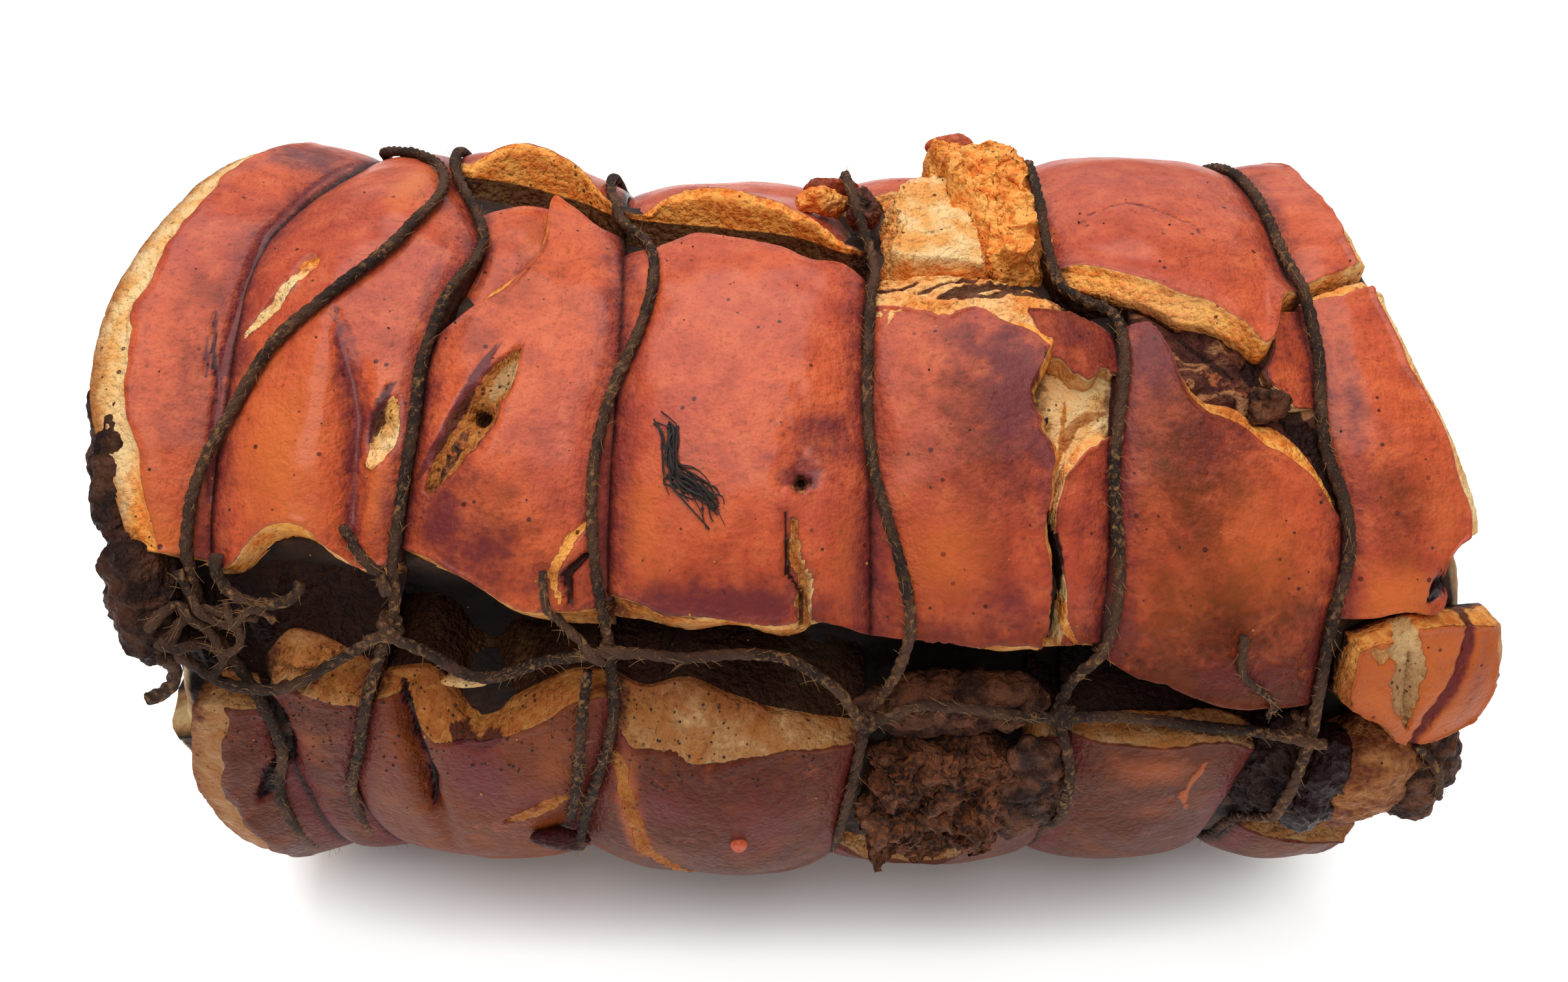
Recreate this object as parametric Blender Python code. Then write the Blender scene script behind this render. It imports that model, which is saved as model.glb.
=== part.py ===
"""Porchetta: a whole roast of rolled pork belly, tied with kitchen twine.

The roast lies along X on its flattened underside. Its crackled rind is a set of thick curved slabs over
a core of dark meat, with a grooved line under each loop of twine, cracks along the top, and a long open
seam at the front. The whole roast is one solid, and each length of twine is a piece of its own.

A place on the roast is a station, in millimetres along the roll, and an angle round it, in degrees: 0 is
the front, 90 the top, 180 the back, 270 the underside, and from there the angle goes on past 360 up to
the lower lip of the seam.
"""

from dataclasses import dataclass, field

import bmesh
import bpy
import numpy as np
from mathutils import Matrix, Vector
from mathutils.bvhtree import BVHTree

MM = 0.001

# The roll, in metres
HALF_DEPTH = 0.100
HALF_HEIGHT = 0.0955
SQUARENESS = 2.2
AXIS_HEIGHT = 0.090
MIDDLE = Vector((-0.0037, 0.0007, 0.0))
FLOOR_BLOCK = 0.6

# How much higher its top stands towards each end: height in millimetres, and the stations it grows between
LEFT_RISE = (9.0, -45.0, -95.0)
RIGHT_RISE = (4.0, 45.0, 85.0)
RISE_AT = 105
RISE_SPREAD = 45

# How far the lower front is drawn in, along the roll, and the angle where it is drawn in most
LOW_FRONT = [(-150, 7.5), (-110, 7), (-80, 5.5), (-50, 4), (-35, 0), (-10, -2.5), (10, -0.5), (25, 3)]
LOW_FRONT += [(60, 5), (90, 6.5), (115, 6), (150, 4)]
LOW_FRONT_AT = 345
LOW_FRONT_SPREAD = 26

# The rounded right shoulder, in millimetres
SHOULDER_START = 122.0
SHOULDER_LENGTH = 56.0
SHOULDER_DROP = 30.0

# Rind and meat, in millimetres
RIND = 10.5
MEAT_DEPTH = 8.0
GROOVE_WIDE = (3.0, 13.0)
GROOVE_NARROW = (3.2, 3.2)
OVERLAP = 0.9
THINNEST = 1.6
TORN_CURVE = 0.8

# The ends of the meat: their stations, with hills of (angle, spread, height), and their domes
LEFT_END = -145
LEFT_END_HILLS = [(55, 40, -3.0), (13, 18, 9.0)]
RIGHT_END = 138
RIGHT_END_HILLS = [(2, 40, 17.0)]
END_BULGE = 10.0
END_ROUNDNESS = 2.6
SPIRAL_TURNS = 2.2
SPIRAL_RELIEF = 1.6

# The channels that carry the loops under the roast, in metres
CHANNEL_WIDTH = 0.0112
CHANNEL_HEIGHT = 0.0068
CHANNEL_LENGTH = 0.120
LOWEST_TWINE = 2.8

# Twine, in metres
TWINE_RADIUS = 0.00138
CLEARANCE = 0.0003
TWINE_SIDES_RESOLUTION = 2
LOOP_POINTS = 43
SEAM_POINTS = 60
CURL_POINTS = 16

# How a string is laid: the sinking it starts from, in millimetres, and how it is then moved out
LOOP_SINK = 6.0
SEAM_SINK = 6.0
CURL_SINK = 4.0
TUFT_SINK = 2.0
REST_ROUNDS = 90
MOST_PUSH = 1.5
EXTRA_PUSH = 0.02
TESTED_SHARES = (0.0, 0.17, 0.33, 0.5, 0.67, 0.83)
RAY_STEP = 0.000002
MOST_CROSSINGS = 20

# Where a loop's points lie closer together: from the front up to the top, and along the lower lip
CLOSER_UP_TO = 115
CLOSER_FROM = 345
CLOSER = 1.7

# Points nearer than this are one, in metres
SCRAP_WELD = 0.0000005
CAP_WELD = 0.00001

# Colour and roughness
RIND_LOOK = ((0.42, 0.13, 0.06), 0.35)
TWINE_LOOK = ((0.10, 0.07, 0.05), 0.9)
HERBS_LOOK = ((0.03, 0.025, 0.02), 0.9)

# The overlapping waves that roughen a lump: their direction and where they start
LUMP_WAVES = [((4.1, 2.3, 0.0), 0.0), ((0.0, 5.3, -3.1), 1.0), ((4.7, 0.0, 6.1), 2.0)]


def smooth(t):
    """Eases from 0 to 1 as t does."""
    t = np.clip(t, 0.0, 1.0)
    return t * t * (3.0 - 2.0 * t)


def through(knots, at):
    """A smooth curve through (place, value) pairs, read at one place or at many."""
    place, value = np.array(knots, float).T
    at = np.clip(at, place[0], place[-1])
    if len(place) == 1:
        return np.full(np.shape(at), value[0])
    slope = np.gradient(value, place)
    i = np.clip(np.searchsorted(place, at) - 1, 0, len(place) - 2)
    step = place[i + 1] - place[i]
    t = (at - place[i]) / step
    ends = value[i] * (1 + 2 * t) * (1 - t) ** 2 + value[i + 1] * t**2 * (3 - 2 * t)
    return ends + step * t * (1 - t) * (slope[i] * (1 - t) - slope[i + 1] * t)


def hill(angle, middle, spread):
    """1 at the middle angle, falling to 0 on both sides of it."""
    away = (angle - middle + 180) % 360 - 180
    return np.exp(-((away / spread) ** 2))


def body_radius(station, angle):
    """Distance from the roll's axis to its smooth outside, in millimetres."""
    turn = np.radians(angle)
    across = np.abs(np.cos(turn) / HALF_DEPTH) ** SQUARENESS
    up = np.abs(np.sin(turn) / HALF_HEIGHT) ** SQUARENESS
    radius = (across + up) ** (-1 / SQUARENESS) / MM
    rise = 0.0
    for height, start, end in (LEFT_RISE, RIGHT_RISE):
        rise = rise + height * smooth((station - start) / (end - start))
    radius = radius + rise * np.exp(-(((angle - RISE_AT) / RISE_SPREAD) ** 2))
    radius = radius - through(LOW_FRONT, station) * hill(angle, LOW_FRONT_AT, LOW_FRONT_SPREAD)
    past = np.clip((station - SHOULDER_START) / SHOULDER_LENGTH, 0, 0.999)
    return radius - SHOULDER_DROP * (1 - np.sqrt(1 - past**2))


def place(station, angle, radius):
    """The point at this station, angle and distance from the axis, in metres."""
    turn = np.radians(angle)
    return np.stack(
        [
            station * MM + MIDDLE.x,
            -radius * MM * np.cos(turn) + MIDDLE.y,
            radius * MM * np.sin(turn) + AXIS_HEIGHT + MIDDLE.z,
        ],
        axis=-1,
    )


@dataclass
class Rind:
    """A curved slab of rind: four edges, and how its outside rises and falls between them.

    left and right are (angle, station) curves. low and high are (share across, angle, rim) triples,
    where rim is how far the skin has shrunk back from a torn edge, in millimetres. Each fall is the share
    of the thickness that is lost across such a rim.
    """

    left: list
    right: list
    low: list
    high: list
    cells: tuple
    swell: list = field(default_factory=lambda: [(0, 0.0), (380, 0.0)])
    left_rim: float = 0.0
    right_rim: float = 0.0
    low_lift: tuple = (0.0, 20.0)
    dents: list = field(default_factory=list)
    thick: float = RIND
    side_fall: float = 0.8
    low_fall: float = 0.8
    high_fall: float = 0.8
    ends_closer: float = 0.35

    def edges(self, across, along):
        """Station, angle and the distances to the left, right, low and high edges, in millimetres."""
        along = along - self.ends_closer * np.sin(2 * np.pi * along) / (2 * np.pi)
        low = through([(u, angle) for u, angle, _ in self.low], across)
        high = through([(u, angle) for u, angle, _ in self.high], across)
        angle = low + (high - low) * along
        left = through(self.left, angle)
        right = through(self.right, angle)
        left = left - OVERLAP * (self.left_rim == 0)
        right = right + OVERLAP * (self.right_rim == 0)
        station = left + (right - left) * across
        arc = np.radians(1.0) * body_radius(station, angle)
        return station, angle, station - left, right - station, (angle - low) * arc, (high - angle) * arc

    def place(self, across, along, depth):
        """Points of the slab; depth is 0 on its inner face and 1 on its skin."""
        station, angle, left, right, low, high = self.edges(across, along)
        side_fall = self.side_fall * self.thick
        drop = groove(left, self.left_rim, side_fall) + groove(right, self.right_rim, side_fall)
        low_rim = through([(u, rim) for u, _, rim in self.low], across)
        high_rim = through([(u, rim) for u, _, rim in self.high], across)
        drop = drop + torn(low, low_rim, self.low_fall * self.thick)
        drop = drop + torn(high, high_rim, self.high_fall * self.thick)
        for at_station, at_angle, wide, tall, deep in self.dents:
            far = ((station - at_station) / wide) ** 2 + ((angle - at_angle) / tall) ** 2
            drop = drop + deep * np.exp(-far)
        lift = self.low_lift[0] * np.clip(1 - low / self.low_lift[1], 0, 1) ** 2
        inner = body_radius(station, angle) - self.thick + lift
        thick = np.maximum(self.thick - drop + through(self.swell, angle), THINNEST)
        return place(station, angle, inner + thick * depth)


def groove(distance, rim, fall):
    """How far the skin falls towards a side: into a twine groove, or down a torn rim if it has one."""
    if rim > 0:
        return torn(distance, rim, fall)
    wide, narrow = GROOVE_WIDE, GROOVE_NARROW
    return wide[0] * np.exp(-((distance / wide[1]) ** 2)) + narrow[0] * np.exp(-distance / narrow[1])


def torn(distance, rim, fall):
    """How far the skin falls towards a torn edge, across a rim of bare fat."""
    share = np.clip(distance / rim, 0, 1)
    return fall * (1 - share**TORN_CURVE)


# Lines along the rind from the left rim to the right one: (angle, station)
LEFT_RIM = [(31, -139.5), (40, -144), (50, -150), (60, -152), (70, -151), (80, -148.5), (90, -146)]
LEFT_RIM += [(105, -142), (180, -146), (270, -145), (330, -145), (350, -144.5), (360, -140), (376, -131)]
FIRST_CREASE = [(29, -124), (50, -122), (80, -122), (91, -118), (105, -113), (125, -114), (180, -118)]
FIRST_CREASE += [(240, -120), (300, -120), (330, -121), (350, -120), (360, -119), (376, -117)]
SECOND_LINE = [(25, -85.5), (40, -82), (50, -80), (60, -79), (70, -75.5), (80, -73), (90, -78)]
SECOND_LINE += [(105, -87), (180, -89), (240, -97), (300, -98), (330, -107), (350, -106)]
SECOND_LINE += [(360, -100.5), (376, -91)]
THIRD_LINE = [(20, -38.5), (40, -37.7), (60, -37), (80, -39), (90, -41), (110, -44), (180, -44)]
THIRD_LINE += [(240, -47), (300, -48), (330, -54), (350, -47.4), (360, -42.5), (370, -38.5), (376, -39)]
FOURTH_LINE = [(18, 19), (40, 18.7), (60, 18), (80, 19), (90, 17), (110, 15), (270, 15), (350, 15)]
FOURTH_LINE += [(360, 17), (368, 19)]
FIFTH_LINE = [(10, 70), (40, 71.5), (50, 72.5), (60, 75), (66, 75.5), (70, 66), (75, 63.5), (90, 63.5)]
FIFTH_LINE += [(180, 62), (270, 64), (350, 67.4), (360, 66.6), (368, 63)]
SIXTH_LINE = [(5, 121), (20, 119.5), (30, 121), (40, 121), (50, 118), (70, 117.5), (90, 119.3)]
SIXTH_LINE += [(180, 121), (240, 118), (300, 117), (330, 112), (350, 111), (366, 112)]
RIGHT_RIM = [(20, 155), (27, 153), (31, 150), (36, 152), (45, 148), (60, 140), (70, 138), (90, 138)]
RIGHT_RIM += [(110, 140), (180, 146), (270, 148), (330, 150)]
FRONT_CRACK = [(18, 58), (24, 58.5), (30, 59), (38, 56.5), (42, 58.3), (45, 60), (48.5, 56.5)]
FRONT_CRACK += [(53, 54.3), (58, 58.7), (61, 61)]

RINDS = {
    "left_end": Rind(
        left=LEFT_RIM,
        right=FIRST_CREASE,
        low=[(0, 32, 3), (0.5, 31.5, 3), (1, 30, 3)],
        high=[(0, 374, 6), (0.5, 374, 6), (1, 372, 6)],
        cells=(4, 17),
        left_rim=8.0,
        side_fall=0.25,
        swell=[(30, 0), (60, 0.5), (105, -0.5), (180, 0), (376, 0)],
    ),
    "left_saddle": Rind(
        left=FIRST_CREASE,
        right=SECOND_LINE,
        low=[(0, 29.5, 3), (0.15, 30, 3), (0.28, 33, 4), (0.4, 34.3, 4), (0.53, 34, 4), (0.68, 31.5, 3),
             (0.8, 29.5, 3), (1, 29.5, 3)],
        high=[(0, 377, 9), (0.25, 381.5, 12), (0.45, 381, 13), (0.75, 377.5, 10), (1, 375, 8)],
        cells=(7, 17),
        swell=[(30, 2), (50, 1.5), (80, 0), (100, -1.5), (130, 0), (376, 0)],
        dents=[(-93, 45, 4, 16, 3.0)],
    ),
    "lip_one": Rind(
        left=SECOND_LINE,
        right=THIRD_LINE,
        low=[(0, 97.5, 2), (0.2, 99, 3), (0.5, 99.5, 3), (0.75, 98, 3), (0.9, 94, 3), (1, 91, 3)],
        high=[(0, 374, 5), (0.12, 375, 6), (0.21, 375, 11), (0.32, 371.5, 11), (0.43, 367.3, 2.5),
              (0.49, 367, 2.5), (0.57, 369, 5), (0.69, 372, 6), (0.81, 374.5, 5), (1, 374.4, 4)],
        cells=(8, 16),
        swell=[(90, 0.5), (105, 0), (376, 0)],
        low_lift=(7.0, 18.0),
        low_fall=0.2,
        dents=[(-86, 362, 2.5, 22, 5.0), (-64, 100, 13, 9, -2.8), (-80, 98, 5, 9, 3.0),
               (-45, 99, 6, 9, 3.5)],
    ),
    "lower_layer": Rind(
        left=[(60, -79), (70, -76), (80, -74), (90, -77)],
        right=[(60, -71), (70, -65), (80, -57), (90, -52)],
        low=[(0, 61, 1), (1, 61, 1)],
        high=[(0, 90.5, 2), (0.3, 92.5, 2), (0.6, 94.5, 2), (1, 95, 2)],
        cells=(2, 4),
        swell=[(0, -2.0), (180, -2.0)],
    ),
    "second_front": Rind(
        left=SECOND_LINE,
        right=THIRD_LINE,
        low=[(0, 32.5, 2), (0.15, 31, 3), (0.35, 28, 3), (0.55, 24, 4), (0.75, 22.3, 6), (1, 22.3, 6)],
        high=[(0, 62, 1), (0.1, 65, 2.5), (0.2, 70.5, 6), (0.37, 77, 8), (0.43, 82, 9), (0.48, 88, 10),
              (0.52, 94, 8), (0.56, 97.5, 5), (0.66, 95.5, 4), (0.82, 90, 3), (1, 88, 2)],
        cells=(8, 9),
        high_fall=0.3,
        swell=[(20, 0.5), (45, 0.5), (80, 0), (100, -1)],
    ),
    "lip_two": Rind(
        left=THIRD_LINE,
        right=FOURTH_LINE,
        low=[(0, 93, 3), (0.15, 91, 4), (0.35, 89.5, 4), (0.55, 87.5, 4), (0.8, 84, 4), (0.92, 81, 3),
             (1, 79.5, 3)],
        low_fall=0.3,
        dents=[(-14, 92, 18, 9, -4.0), (-38, 93, 6, 9, 3.0), (15, 84, 6, 9, 3.0)],
        high=[(0, 375, 10), (0.1, 372.5, 13), (0.3, 373.5, 15), (0.5, 370, 11), (0.7, 368, 4),
              (0.9, 365.5, 2), (1, 365, 2)],
        cells=(8, 15),
        swell=[(80, -1.5), (100, -3.5), (140, -1), (180, 0), (376, 0)],
        low_lift=(7.0, 18.0),
    ),
    "third_front": Rind(
        left=THIRD_LINE,
        right=FOURTH_LINE,
        low=[(0, 24, 6), (0.3, 22, 6), (0.5, 22.5, 4), (0.75, 21.8, 5), (0.8, 23, 3), (1, 21, 2)],
        high=[(0, 82, 1.2), (0.22, 83, 1.5), (0.32, 84.5, 1.5), (0.44, 84, 1.5), (0.56, 82, 2),
              (0.65, 81, 2.5), (0.73, 78.5, 2), (0.77, 77.5, 1.5), (0.9, 77.5, 1.5), (1, 75, 1.2)],
        cells=(7, 8),
        high_fall=0.3,
        swell=[(20, 1.0), (50, 1.0), (85, -0.5)],
    ),
    "shard_back": Rind(
        left=FOURTH_LINE,
        right=FIFTH_LINE,
        low=[(0, 98, 3), (0.5, 103, 3), (1, 97, 3)],
        high=[(0, 335, 3), (0.6, 333, 3), (0.72, 350, 3), (0.8, 362, 3), (1, 364, 2)],
        cells=(6, 11),
        swell=[(90, -2), (140, 0), (364, 0)],
    ),
    "crackling": Rind(
        left=[(74, 50), (84, 44), (95, 40), (112, 37)],
        right=[(74, 60), (84, 62.5), (98, 64), (112, 60)],
        low=[(0, 76, 3), (0.4, 75, 3), (1, 74, 3)],
        high=[(0, 110, 5), (0.25, 112, 5), (0.5, 108, 5), (0.75, 101.5, 4), (1, 95, 5)],
        cells=(4, 5),
        thick=16.0,
        left_rim=3.0,
        right_rim=3.0,
        side_fall=0.6,
        swell=[(74, -1), (86, 4), (98, 10.5), (106, 8), (113, 3)],
    ),
    "fat_chunk": Rind(
        left=[(74, 22.5), (86, 24), (99, 27)],
        right=[(74, 51), (84, 47), (99, 44)],
        low=[(0, 76, 3), (1, 75, 3)],
        high=[(0, 97, 5), (0.5, 101, 5), (1, 104, 5)],
        cells=(4, 4),
        thick=14.0,
        left_rim=3.0,
        right_rim=2.0,
        side_fall=0.6,
        swell=[(74, -2), (86, 2), (95, 4), (100, 3)],
    ),
    "torn_meat": Rind(
        left=[(330, 19.5), (362, 20.5)],
        right=[(330, 53), (364, 54)],
        low=[(0, 334, 5), (1, 336, 5)],
        high=[(0, 362, 4), (0.5, 363.5, 4), (1, 363, 4)],
        cells=(5, 5),
        thick=13.0,
        left_rim=4.0,
        right_rim=3.0,
        side_fall=0.6,
        swell=[(330, 0), (348, 3.5), (364, 1)],
    ),
    "fourth_front": Rind(
        left=FOURTH_LINE,
        right=FRONT_CRACK,
        low=[(0, 20.5, 2), (0.5, 20.5, 2), (0.75, 19, 5), (1, 18.5, 4)],
        high=[(0, 71, 2), (0.12, 70, 2.5), (0.26, 68.5, 3), (0.43, 67, 3), (0.6, 67.5, 3), (0.74, 65.5, 4),
              (0.88, 63.5, 4), (1, 60.5, 3)],
        cells=(6, 8),
        high_fall=0.25,
        right_rim=2.2,
        side_fall=0.3,
        swell=[(20, 1.0), (60, 1.0), (77, -1)],
    ),
    "fourth_strip": Rind(
        left=[(10, 59.2), (18, 58.9), (30, 59.8), (38, 57.2), (42, 59.1), (46, 60.5)],
        right=[(10, 70.5), (40, 71.5), (50, 73), (68, 76)],
        low=[(0, 19, 4), (0.5, 18.5, 3), (1, 18.3, 3)],
        high=[(0, 43, 2), (0.13, 44.5, 2.5), (0.33, 47, 3), (0.6, 49, 3), (0.87, 50, 2.5), (1, 50, 2)],
        cells=(2, 6),
        high_fall=0.3,
        left_rim=1.2,
        side_fall=0.5,
        swell=[(18, 0), (44, -0.5), (52, -1.5)],
    ),
    "strip_top": Rind(
        left=[(50, 59), (57, 58.5), (63, 55), (70, 55)],
        right=[(50, 73), (60, 76), (68, 72)],
        low=[(0, 57, 1.2), (0.15, 56.5, 1.5), (0.25, 54.6, 1.4), (0.33, 54.4, 1.2), (0.45, 53.4, 1.3),
             (0.62, 55.0, 1.5), (0.8, 54.6, 1.3), (1, 55.3, 1.2)],
        high=[(0, 67.5, 1.2), (0.33, 68, 1.2), (0.78, 67.3, 1.2), (1, 65, 1.2)],
        cells=(4, 2),
        left_rim=0.6,
        low_fall=0.35,
        swell=[(54, 0.6), (58, -0.4), (68, -1.0)],
    ),
    "gash_fat": Rind(
        left=[(38, 55.5), (60, 55.5)],
        right=[(38, 72), (60, 73)],
        low=[(0, 40, 1), (1, 41, 1)],
        high=[(0, 60, 1), (1, 60, 1)],
        cells=(2, 2),
        thick=8.0,
        swell=[(0, -3.2), (180, -3.2)],
    ),
    "top_fat": Rind(
        left=[(60, 19), (80, 19)],
        right=[(60, 64), (80, 65)],
        low=[(0, 63, 1), (1, 60, 1)],
        high=[(0, 75.8, 2.5), (0.35, 74.8, 2.5), (0.63, 73.7, 2), (0.8, 72.3, 2), (1, 70, 2)],
        cells=(4, 2),
        thick=9.0,
        swell=[(0, -1.2), (70, -0.6), (78, -1.5)],
    ),
    "top_right": Rind(
        left=[(60, 66), (70, 66), (75, 63.5), (90, 63.5), (180, 62), (270, 64), (350, 67.4), (368, 66)],
        right=SIXTH_LINE,
        low=[(0, 72.5, 4), (0.12, 70, 6), (0.21, 68, 5.5), (0.35, 66, 5.5), (0.42, 64, 5), (0.56, 63, 4),
             (0.69, 60.5, 3), (0.76, 58.5, 2), (0.82, 60.5, 1.5), (0.89, 66.5, 1.2), (1, 68, 1.2)],
        low_fall=0.55,
        high=[(0, 366, 3), (0.5, 365.5, 3), (0.85, 365, 3), (1, 362, 4)],
        cells=(9, 15),
        low_lift=(4.0, 16.0),
        swell=[(60, 0.5), (100, 0.5), (180, 0), (366, 0)],
    ),
    "tongue": Rind(
        left=[(49, 112), (52, 110), (56, 105), (60.5, 108), (67, 109)],
        right=[(49, 117), (55, 119), (69, 119)],
        low=[(0, 50.5, 1.5), (1, 50.5, 1.5)],
        high=[(0, 67, 1.5), (1, 68.5, 1.5)],
        cells=(1, 3),
        left_rim=1.6,
        side_fall=0.5,
        swell=[(0, -0.8), (180, -0.8)],
    ),
    "fifth_front": Rind(
        left=FIFTH_LINE,
        right=SIXTH_LINE,
        low=[(0, 18.3, 2), (0.12, 15.5, 2), (0.3, 13.5, 3), (0.5, 11, 3), (0.9, 10, 2), (1, 10, 2)],
        high=[(0, 64.5, 1), (0.18, 64, 1.2), (0.26, 61, 3), (0.33, 56, 4), (0.4, 53, 3.5), (0.47, 52, 3.5),
              (0.58, 51, 4.5), (0.65, 49.3, 5), (0.73, 49, 6), (0.8, 47.5, 6.5), (0.87, 45, 6),
              (0.92, 42, 5.5), (1, 38.5, 4)],
        cells=(8, 9),
        high_fall=0.3,
        swell=[(10, 0.5), (65, 0.5)],
    ),
    "right_end_back": Rind(
        left=[(70, 117.5), (90, 119.3), (180, 121), (270, 120), (340, 119)],
        right=RIGHT_RIM,
        low=[(0, 70.6, 0.8), (0.5, 72.3, 0.8), (1, 74.8, 0.8)],
        high=[(0, 336, 3), (1, 336, 3)],
        cells=(4, 12),
        right_rim=3.2,
        side_fall=0.3,
    ),
    "right_end_front": Rind(
        left=[(20, 120), (30, 121), (40, 121), (50, 118), (70, 117.5)],
        right=RIGHT_RIM,
        low=[(0, 22, 3), (0.4, 24, 3), (0.7, 26, 3), (0.8, 31, 3), (1, 34, 2)],
        high=[(0, 69.2, 2), (0.4, 70.6, 4), (1, 73, 5)],
        cells=(5, 7),
        high_fall=0.3,
        right_rim=3.2,
        side_fall=0.25,
        swell=[(20, 0.5), (70, 0)],
    ),
    "right_flap": Rind(
        left=[(2, 124.5), (12, 124), (25, 123.2)],
        right=[(2, 160), (8, 164), (17, 163), (25, 157)],
        low=[(0, 11.5, 1), (0.1, 10, 1), (0.3, 6.5, 1.5), (0.42, 4.5, 1.5), (0.55, 3.3, 1.5),
             (0.71, 2.5, 2), (0.88, 4.5, 2), (1, 7, 2)],
        high=[(0, 22, 1.5), (0.25, 24, 2), (0.65, 24.8, 2), (1, 24, 2)],
        cells=(5, 4),
        high_fall=0.4,
        thick=8.0,
        left_rim=1.0,
        right_rim=3.5,
        side_fall=0.35,
        swell=[(0, 0.6), (12, 1.8), (25, 0.6)],
    ),
    "marbled_meat": Rind(
        left=[(42, 80), (66, 80)],
        right=[(42, 119), (66, 117)],
        low=[(0, 44, 2), (1, 36, 2)],
        high=[(0, 69, 2), (1, 66, 2)],
        cells=(3, 2),
        thick=7.0,
        swell=[(40, -3.6), (70, -3.6)],
    ),
}

# Each loop of twine, as (angle, station) pairs from its knot at the seam, over the top and round
LOOPS = [
    [(24, -128), (35, -128), (45, -123.8), (50, -119.2), (55, -115), (60, -109.7), (65, -101.4),
     (70, -94.5), (75, -89.5), (80, -86.5), (86, -84), (92, -84.5), (98, -88), (103, -94), (108, -102),
     (113, -110), (120, -114), (180, -118), (235, -124), (300, -127.5), (335, -127), (350, -124),
     (358, -120), (367, -118.5), (375, -121.5), (384, -128)],
    [(22, -88), (25, -85.5), (30, -84.4), (40, -82), (50, -80), (57, -79.8), (63, -78.2), (70, -75.7),
     (75, -72.7), (81, -72), (85, -73.8), (89, -76.8), (96, -83), (105, -87), (180, -90), (235, -103),
     (300, -106), (330, -111), (350, -106.5), (360, -100.6), (370, -95.3), (382, -88)],
    [(20, -38.5), (30, -40.3), (40, -41.3), (50, -39.4), (55, -37.1), (60, -33.9), (65, -31.6),
     (70, -30.4), (75, -30.5), (80, -31.9), (85, -35.2), (89, -40.3), (95, -43), (180, -45), (240, -47),
     (300, -48), (330, -54), (350, -47.4), (360, -42.5), (370, -38.5), (380, -38.5)],
    [(9, 19), (15, 24.4), (20, 26.6), (25, 27.3), (30, 25.7), (35, 23.5), (40, 20.8), (45, 19),
     (60, 18.9), (70, 20.2), (75, 21.5), (80, 21), (90, 17.3), (105, 15.5), (180, 15), (270, 15),
     (350, 15), (360, 17), (369, 19)],
    [(9, 62.3), (15, 65.4), (19, 70), (25, 71.8), (45, 71.6), (50, 73), (60, 75.8), (65, 75.5),
     (68, 72.6), (69.5, 67.1), (72, 64), (75, 63), (110, 62.5), (180, 62), (270, 64), (350, 67.4),
     (360, 66.6), (369, 62.3)],
    [(6, 121.5), (20, 119.3), (25, 119.5), (35, 121.9), (40, 120.6), (45, 118), (60, 118.4), (70, 117.5),
     (90, 119.3), (110, 120.5), (180, 121), (240, 119), (300, 119), (340, 118), (360, 121), (366, 121.5)],
]

# The string along the seam, and the loose end that curls at its left: (station, angle)
SEAM_STRING = [(124, 5), (112, 5.5), (100, 6), (85, 7.5), (75, 8.6), (62.3, 9), (52, 9.6), (41, 11)]
SEAM_STRING += [(30, 11.5), (19, 9), (12, 14), (7, 16.5), (0, 19), (-10, 19.6), (-22, 19), (-30, 19.5)]
SEAM_STRING += [(-38.5, 20), (-46, 19), (-54, 18), (-60, 16.5), (-66, 15.5), (-72, 16.5), (-79, 19.5)]
SEAM_STRING += [(-88, 22), (-94, 20), (-102, 17), (-108, 15), (-114, 14), (-120, 14), (-126, 15)]
SEAM_STRING += [(-130.5, 18), (-132, 21), (-131, 24), (-127, 25.5), (-121, 25), (-115, 24.5)]
CURLED_END = [(-121, 33), (-121.5, 30.5), (-119.5, 28.2), (-115.5, 26.8), (-110, 26.6), (-106, 27.5)]
CURLED_END += [(-104.3, 29.3)]
TUFT = [(-28, 50), (-24.5, 48), (-24.8, 45), (-23.5, 42.8), (-20, 41.6), (-16.5, 40.4), (-14.3, 38.6)]
TUFT_RADII = [0.4, 0.9, 1.9, 2.2, 1.9, 1.5, 0.6]

# The open seam: where its middle runs and how deep it goes, along the roll
SEAM_MIDDLE = [(-140, 20), (-110, 22), (-80, 20), (-60, 18.5), (-30, 17), (0, 15), (40, 12.5), (80, 10)]
SEAM_MIDDLE += [(110, 8), (150, 2)]
SEAM_DEPTH = [(-150, 3), (-125, 10), (-100, 14), (0, 13), (60, 13), (110, 11), (130, 5), (150, 2)]
SEAM_HALF_OPENING = 8.5
# How many degrees the core's lines of points crowd towards the seam
SEAM_CROWDING = 32.0
SEAM_CROWDED_AT = 14.0


def new_object(name, mesh, collection, material):
    """A named object of this mesh in this collection."""
    if material:
        mesh.materials.append(material)
    made = bpy.data.objects.new(name, mesh)
    collection.objects.link(made)
    return made


def new_collection(name):
    """An empty collection of the scene."""
    made = bpy.data.collections.new(name)
    bpy.context.scene.collection.children.link(made)
    return made


def principled(name, colour, roughness):
    """A material of this colour and roughness."""
    material = bpy.data.materials.new(name)
    material.use_nodes = True
    shader = material.node_tree.nodes["Principled BSDF"]
    shader.inputs["Base Color"].default_value = (*colour, 1.0)
    shader.inputs["Roughness"].default_value = roughness
    shader.inputs["Metallic"].default_value = 0.0
    material.diffuse_color = (*colour, 1.0)
    return material


def read_points(bm):
    """The points of a bmesh, one to a row."""
    return np.array([vert.co for vert in bm.verts])


def move_points(bm, points):
    """Moves each point of a bmesh to its row."""
    for vert, point in zip(bm.verts, points):
        vert.co = point


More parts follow.
